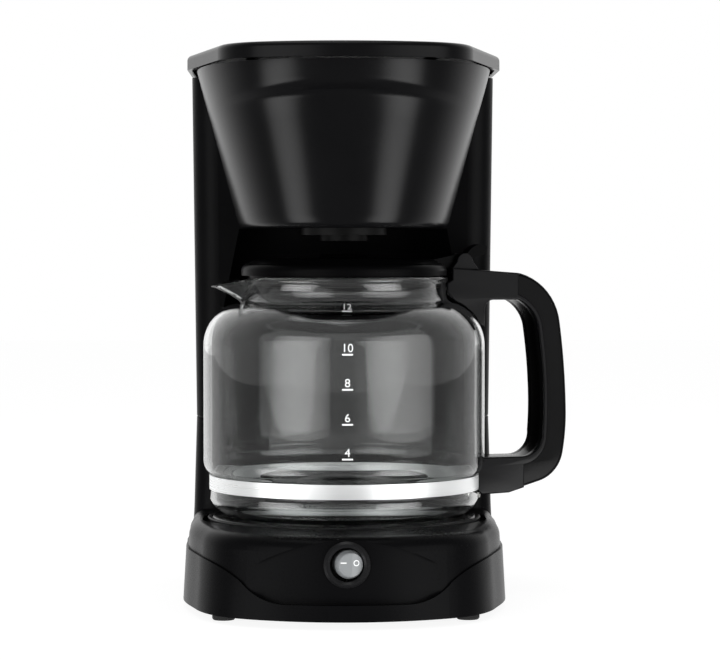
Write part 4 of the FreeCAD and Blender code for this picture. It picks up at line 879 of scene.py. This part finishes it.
# screws under the base: pan heads with a cross recess
baseScrews = {
    "sizes": {"Head radius": 3.3 * mm, "Head height": 1.9 * mm, "Shank radius": 1.45 * mm,
              "Shank length": 10.2 * mm, "Slot width": 0.8 * mm, "Slot length": 3.8 * mm,
              "Slot depth": 1.1 * mm},
    "headSides": 40, "shankSides": 20,
    "spots": [(72, -40, 2.85), (-72, -40, 2.85), (75, 88, 2.85), (-75, 88, 2.85)],
}


def makeBaseScrews():
    recipe = Recipe("baseScrews", baseScrews["sizes"], [Vector(spot) * mm for spot in baseScrews["spots"]])
    headHeight, shankLength = recipe.size("Head height"), recipe.size("Shank length")
    head = recipe.node("GeometryNodeMeshCylinder", {},
                       {"Vertices": baseScrews["headSides"], "Radius": recipe.size("Head radius"),
                        "Depth": headHeight})
    head = recipe.moved(head, Translation=recipe.vector(Z=headHeight * 0.5))
    slots = []
    for turn in (0, math.pi / 2):
        size = recipe.vector(X=recipe.size("Slot length"), Y=recipe.size("Slot width"),
                             Z=recipe.size("Slot depth") * 2)
        slot = recipe.node("GeometryNodeMeshCube", {}, {"Size": size})
        slots.append(recipe.moved(slot, Rotation=(0, 0, turn)))
    cross = recipe.node("GeometryNodeMeshBoolean", {"operation": "UNION"}, {1: recipe.join(*slots)})
    head = recipe.node("GeometryNodeMeshBoolean", {"operation": "DIFFERENCE"}, {0: head, 1: cross})
    shank = recipe.node("GeometryNodeMeshCylinder", {},
                        {"Vertices": baseScrews["shankSides"], "Radius": recipe.size("Shank radius"),
                         "Depth": shankLength})
    shank = recipe.moved(shank, Translation=recipe.vector(Z=headHeight + shankLength * 0.5))
    screws = recipe.node("GeometryNodeInstanceOnPoints", {},
                         {"Points": recipe.size("Spots"), "Instance": recipe.join(head, shank)})
    mesh = recipe.build(screws, "screwSteel")
    piece = newPiece("base_screws", mesh, "screwSteel", "machine")
    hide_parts("bottom_screws")


# ribs inside the brew basket, which hold the paper filter off the wall
basketRibs = {
    "sizes": {"Rib width": 1.3 * mm, "Rib depth": 2.2 * mm, "Rib length": 52 * mm, "Wall radius": 41.3 * mm,
              "Wall slope": 0.205},
    "count": 24, "middle": (0, -27, 242),
}


def makeBasketRibs():
    recipe = Recipe("basketRibs", basketRibs["sizes"])
    size = recipe.vector(X=recipe.size("Rib depth"), Y=recipe.size("Rib width"), Z=recipe.size("Rib length"))
    rib = recipe.node("GeometryNodeMeshCube", {}, {"Size": size})
    rib = recipe.moved(rib, Rotation=recipe.vector(Y=recipe.size("Wall slope")))
    ring = recipe.node("GeometryNodeMeshCircle", {},
                       {"Vertices": basketRibs["count"], "Radius": recipe.size("Wall radius")})
    facing = recipe.node("FunctionNodeAlignRotationToVector", {"axis": "X"},
                         {"Vector": recipe.node("GeometryNodeInputPosition")})
    ribs = recipe.node("GeometryNodeInstanceOnPoints", {},
                       {"Points": ring, "Instance": rib, "Rotation": facing})
    ribs = recipe.moved(ribs, Translation=Vector(basketRibs["middle"]) * mm)
    newPiece("basket_ribs", recipe.build(ribs, "brewMatte"), "brewMatte", "machine")


makeBaseScrews()
makeBasketRibs()
print("screws and ribs made")

# stage: a pale floor that reads white to the camera
floorLook = {"size": 8.0, "colour": (0.86, 0.86, 0.86), "rough": 0.9, "white": 1.2, "whiteShare": 0.75}


def makeFloor():
    half = floorLook["size"] / 2
    corners = [(-half, -half, 0), (half, -half, 0), (half, half, 0), (-half, half, 0)]
    mesh = bpy.data.meshes.new("floor")
    mesh.from_pydata(corners, [], [(0, 1, 2, 3)])
    floor = bpy.data.objects.new("floor", mesh)
    scene.collection.objects.link(floor)
    finish = Finish("floorPale", {"Roughness": floorLook["rough"], "Base Color": (*floorLook["colour"], 1)})
    seen = finish.node("ShaderNodeLightPath", out="Is Camera Ray")
    pale = Wire(finish, finish.shader.outputs[0])
    white = finish.node("ShaderNodeEmission", {}, {"Color": (1, 1, 1, 1), "Strength": floorLook["white"]})
    both = finish.node("ShaderNodeMixShader", {}, {0: seen * floorLook["whiteShare"], 1: pale, 2: white})
    finish.node("ShaderNodeOutputMaterial", {"is_active_output": True}, {"Surface": both}, out=None)
    mesh.materials.append(finish.material)
    floor.visible_glossy = False  # the dark plastic mirrors the studio, not the white table
    floor.visible_shadow = False  # and the low panels shine through the table


# soft panels that fade towards their left and right edges
panels = {
    "panelLeft": {"place": (-0.852, -1.173, 0.47), "aim": 0.47, "size": (1.32, 0.97), "power": 6.6},
    "panelRight": {"place": (1.015, -0.964, 0.47), "aim": 0.47, "size": (1.58, 0.97), "power": 7.4},
    "panelTop": {"place": (-0.1, -0.1, 1.5), "aim": 0.2, "size": (1.1, 0.8), "power": 5.0},
    # under the table top: they show only as bands in the slanted front of the hopper
    "panelLowLeft": {"place": (-0.933, -0.63, -0.40), "aim": 0.25, "size": (0.95, 0.7), "power": 12.5},
    "panelLowRight": {"place": (0.81, -0.78, -0.40), "aim": 0.25, "size": (0.95, 0.7), "power": 13.5},
}
panelFade = {"peak": 3.9, "edge": 0.25}


def makeLights():
    for name, look in panels.items():
        lamp = bpy.data.lights.new(name, "AREA")
        lamp.shape = "RECTANGLE"
        lamp.size, lamp.size_y = look["size"]
        lamp.energy = look["power"]
        lamp.use_nodes = True
        graph = Graph(lamp.node_tree)
        across = graph.axis(graph.node("ShaderNodeNewGeometry", out="Parametric"), "X")
        soft = across * (1 - across) * panelFade["peak"] + panelFade["edge"]
        graph.tree.links.new(soft.socket, graph.tree.nodes["Emission"].inputs["Strength"])
        holder = bpy.data.objects.new(name, lamp)
        holder.location = look["place"]
        aim = Vector((0, 0, look["aim"])) - holder.location
        holder.rotation_euler = aim.to_track_quat("-Z", "Y").to_euler()
        scene.collection.objects.link(holder)


# white to the camera and through the glass; to mirrors it darkens from behind the part to its front
worldLook = {"diffuse": 0.4, "frontFrom": 0.0, "backFrom": 0.9, "front": 0.25, "back": 1.0}


def makeWorld():
    world = bpy.data.worlds.new("studio")
    world.use_nodes = True
    scene.world = world
    graph = Graph(world.node_tree)
    seen = graph.node("ShaderNodeLightPath", out="Is Camera Ray")
    through = graph.node("ShaderNodeLightPath", out="Is Transmission Ray")
    mirrored = graph.node("ShaderNodeLightPath", out="Is Glossy Ray")
    forward = graph.axis(graph.node("ShaderNodeTexCoord", out="Generated"), "Y")
    behind = graph.node("ShaderNodeMapRange", {"interpolation_type": "SMOOTHSTEP"},
                        {"Value": forward,
                         "From Min": worldLook["frontFrom"], "From Max": worldLook["backFrom"],
                         "To Min": worldLook["front"], "To Max": worldLook["back"]})
    level = seen.maths("MAXIMUM", seen, through)
    strength = level + (1 - level) * (mirrored * behind + (1 - mirrored) * worldLook["diffuse"])
    ground = graph.tree.nodes["Background"]
    ground.inputs["Color"].default_value = (1, 1, 1, 1)
    graph.tree.links.new(strength.socket, ground.inputs["Strength"])


cameraLook = {"place": (-0.020, -1.471, 0.193), "aim": (0.00865, -0.011, 0.147), "lens": 135, "sensor": 36}


def makeCamera():
    camera = bpy.data.objects.new("camera", bpy.data.cameras.new("camera"))
    camera.data.lens = cameraLook["lens"]
    camera.data.sensor_width = cameraLook["sensor"]
    camera.data.sensor_fit = "HORIZONTAL"
    camera.location = cameraLook["place"]
    aim = Vector(cameraLook["aim"]) - camera.location
    camera.rotation_euler = aim.to_track_quat("-Z", "Y").to_euler()
    scene.collection.objects.link(camera)
    scene.camera = camera


makeFloor()
makeLights()
makeWorld()
makeCamera()
scene.view_settings.view_transform = "Standard"
print("stage set")
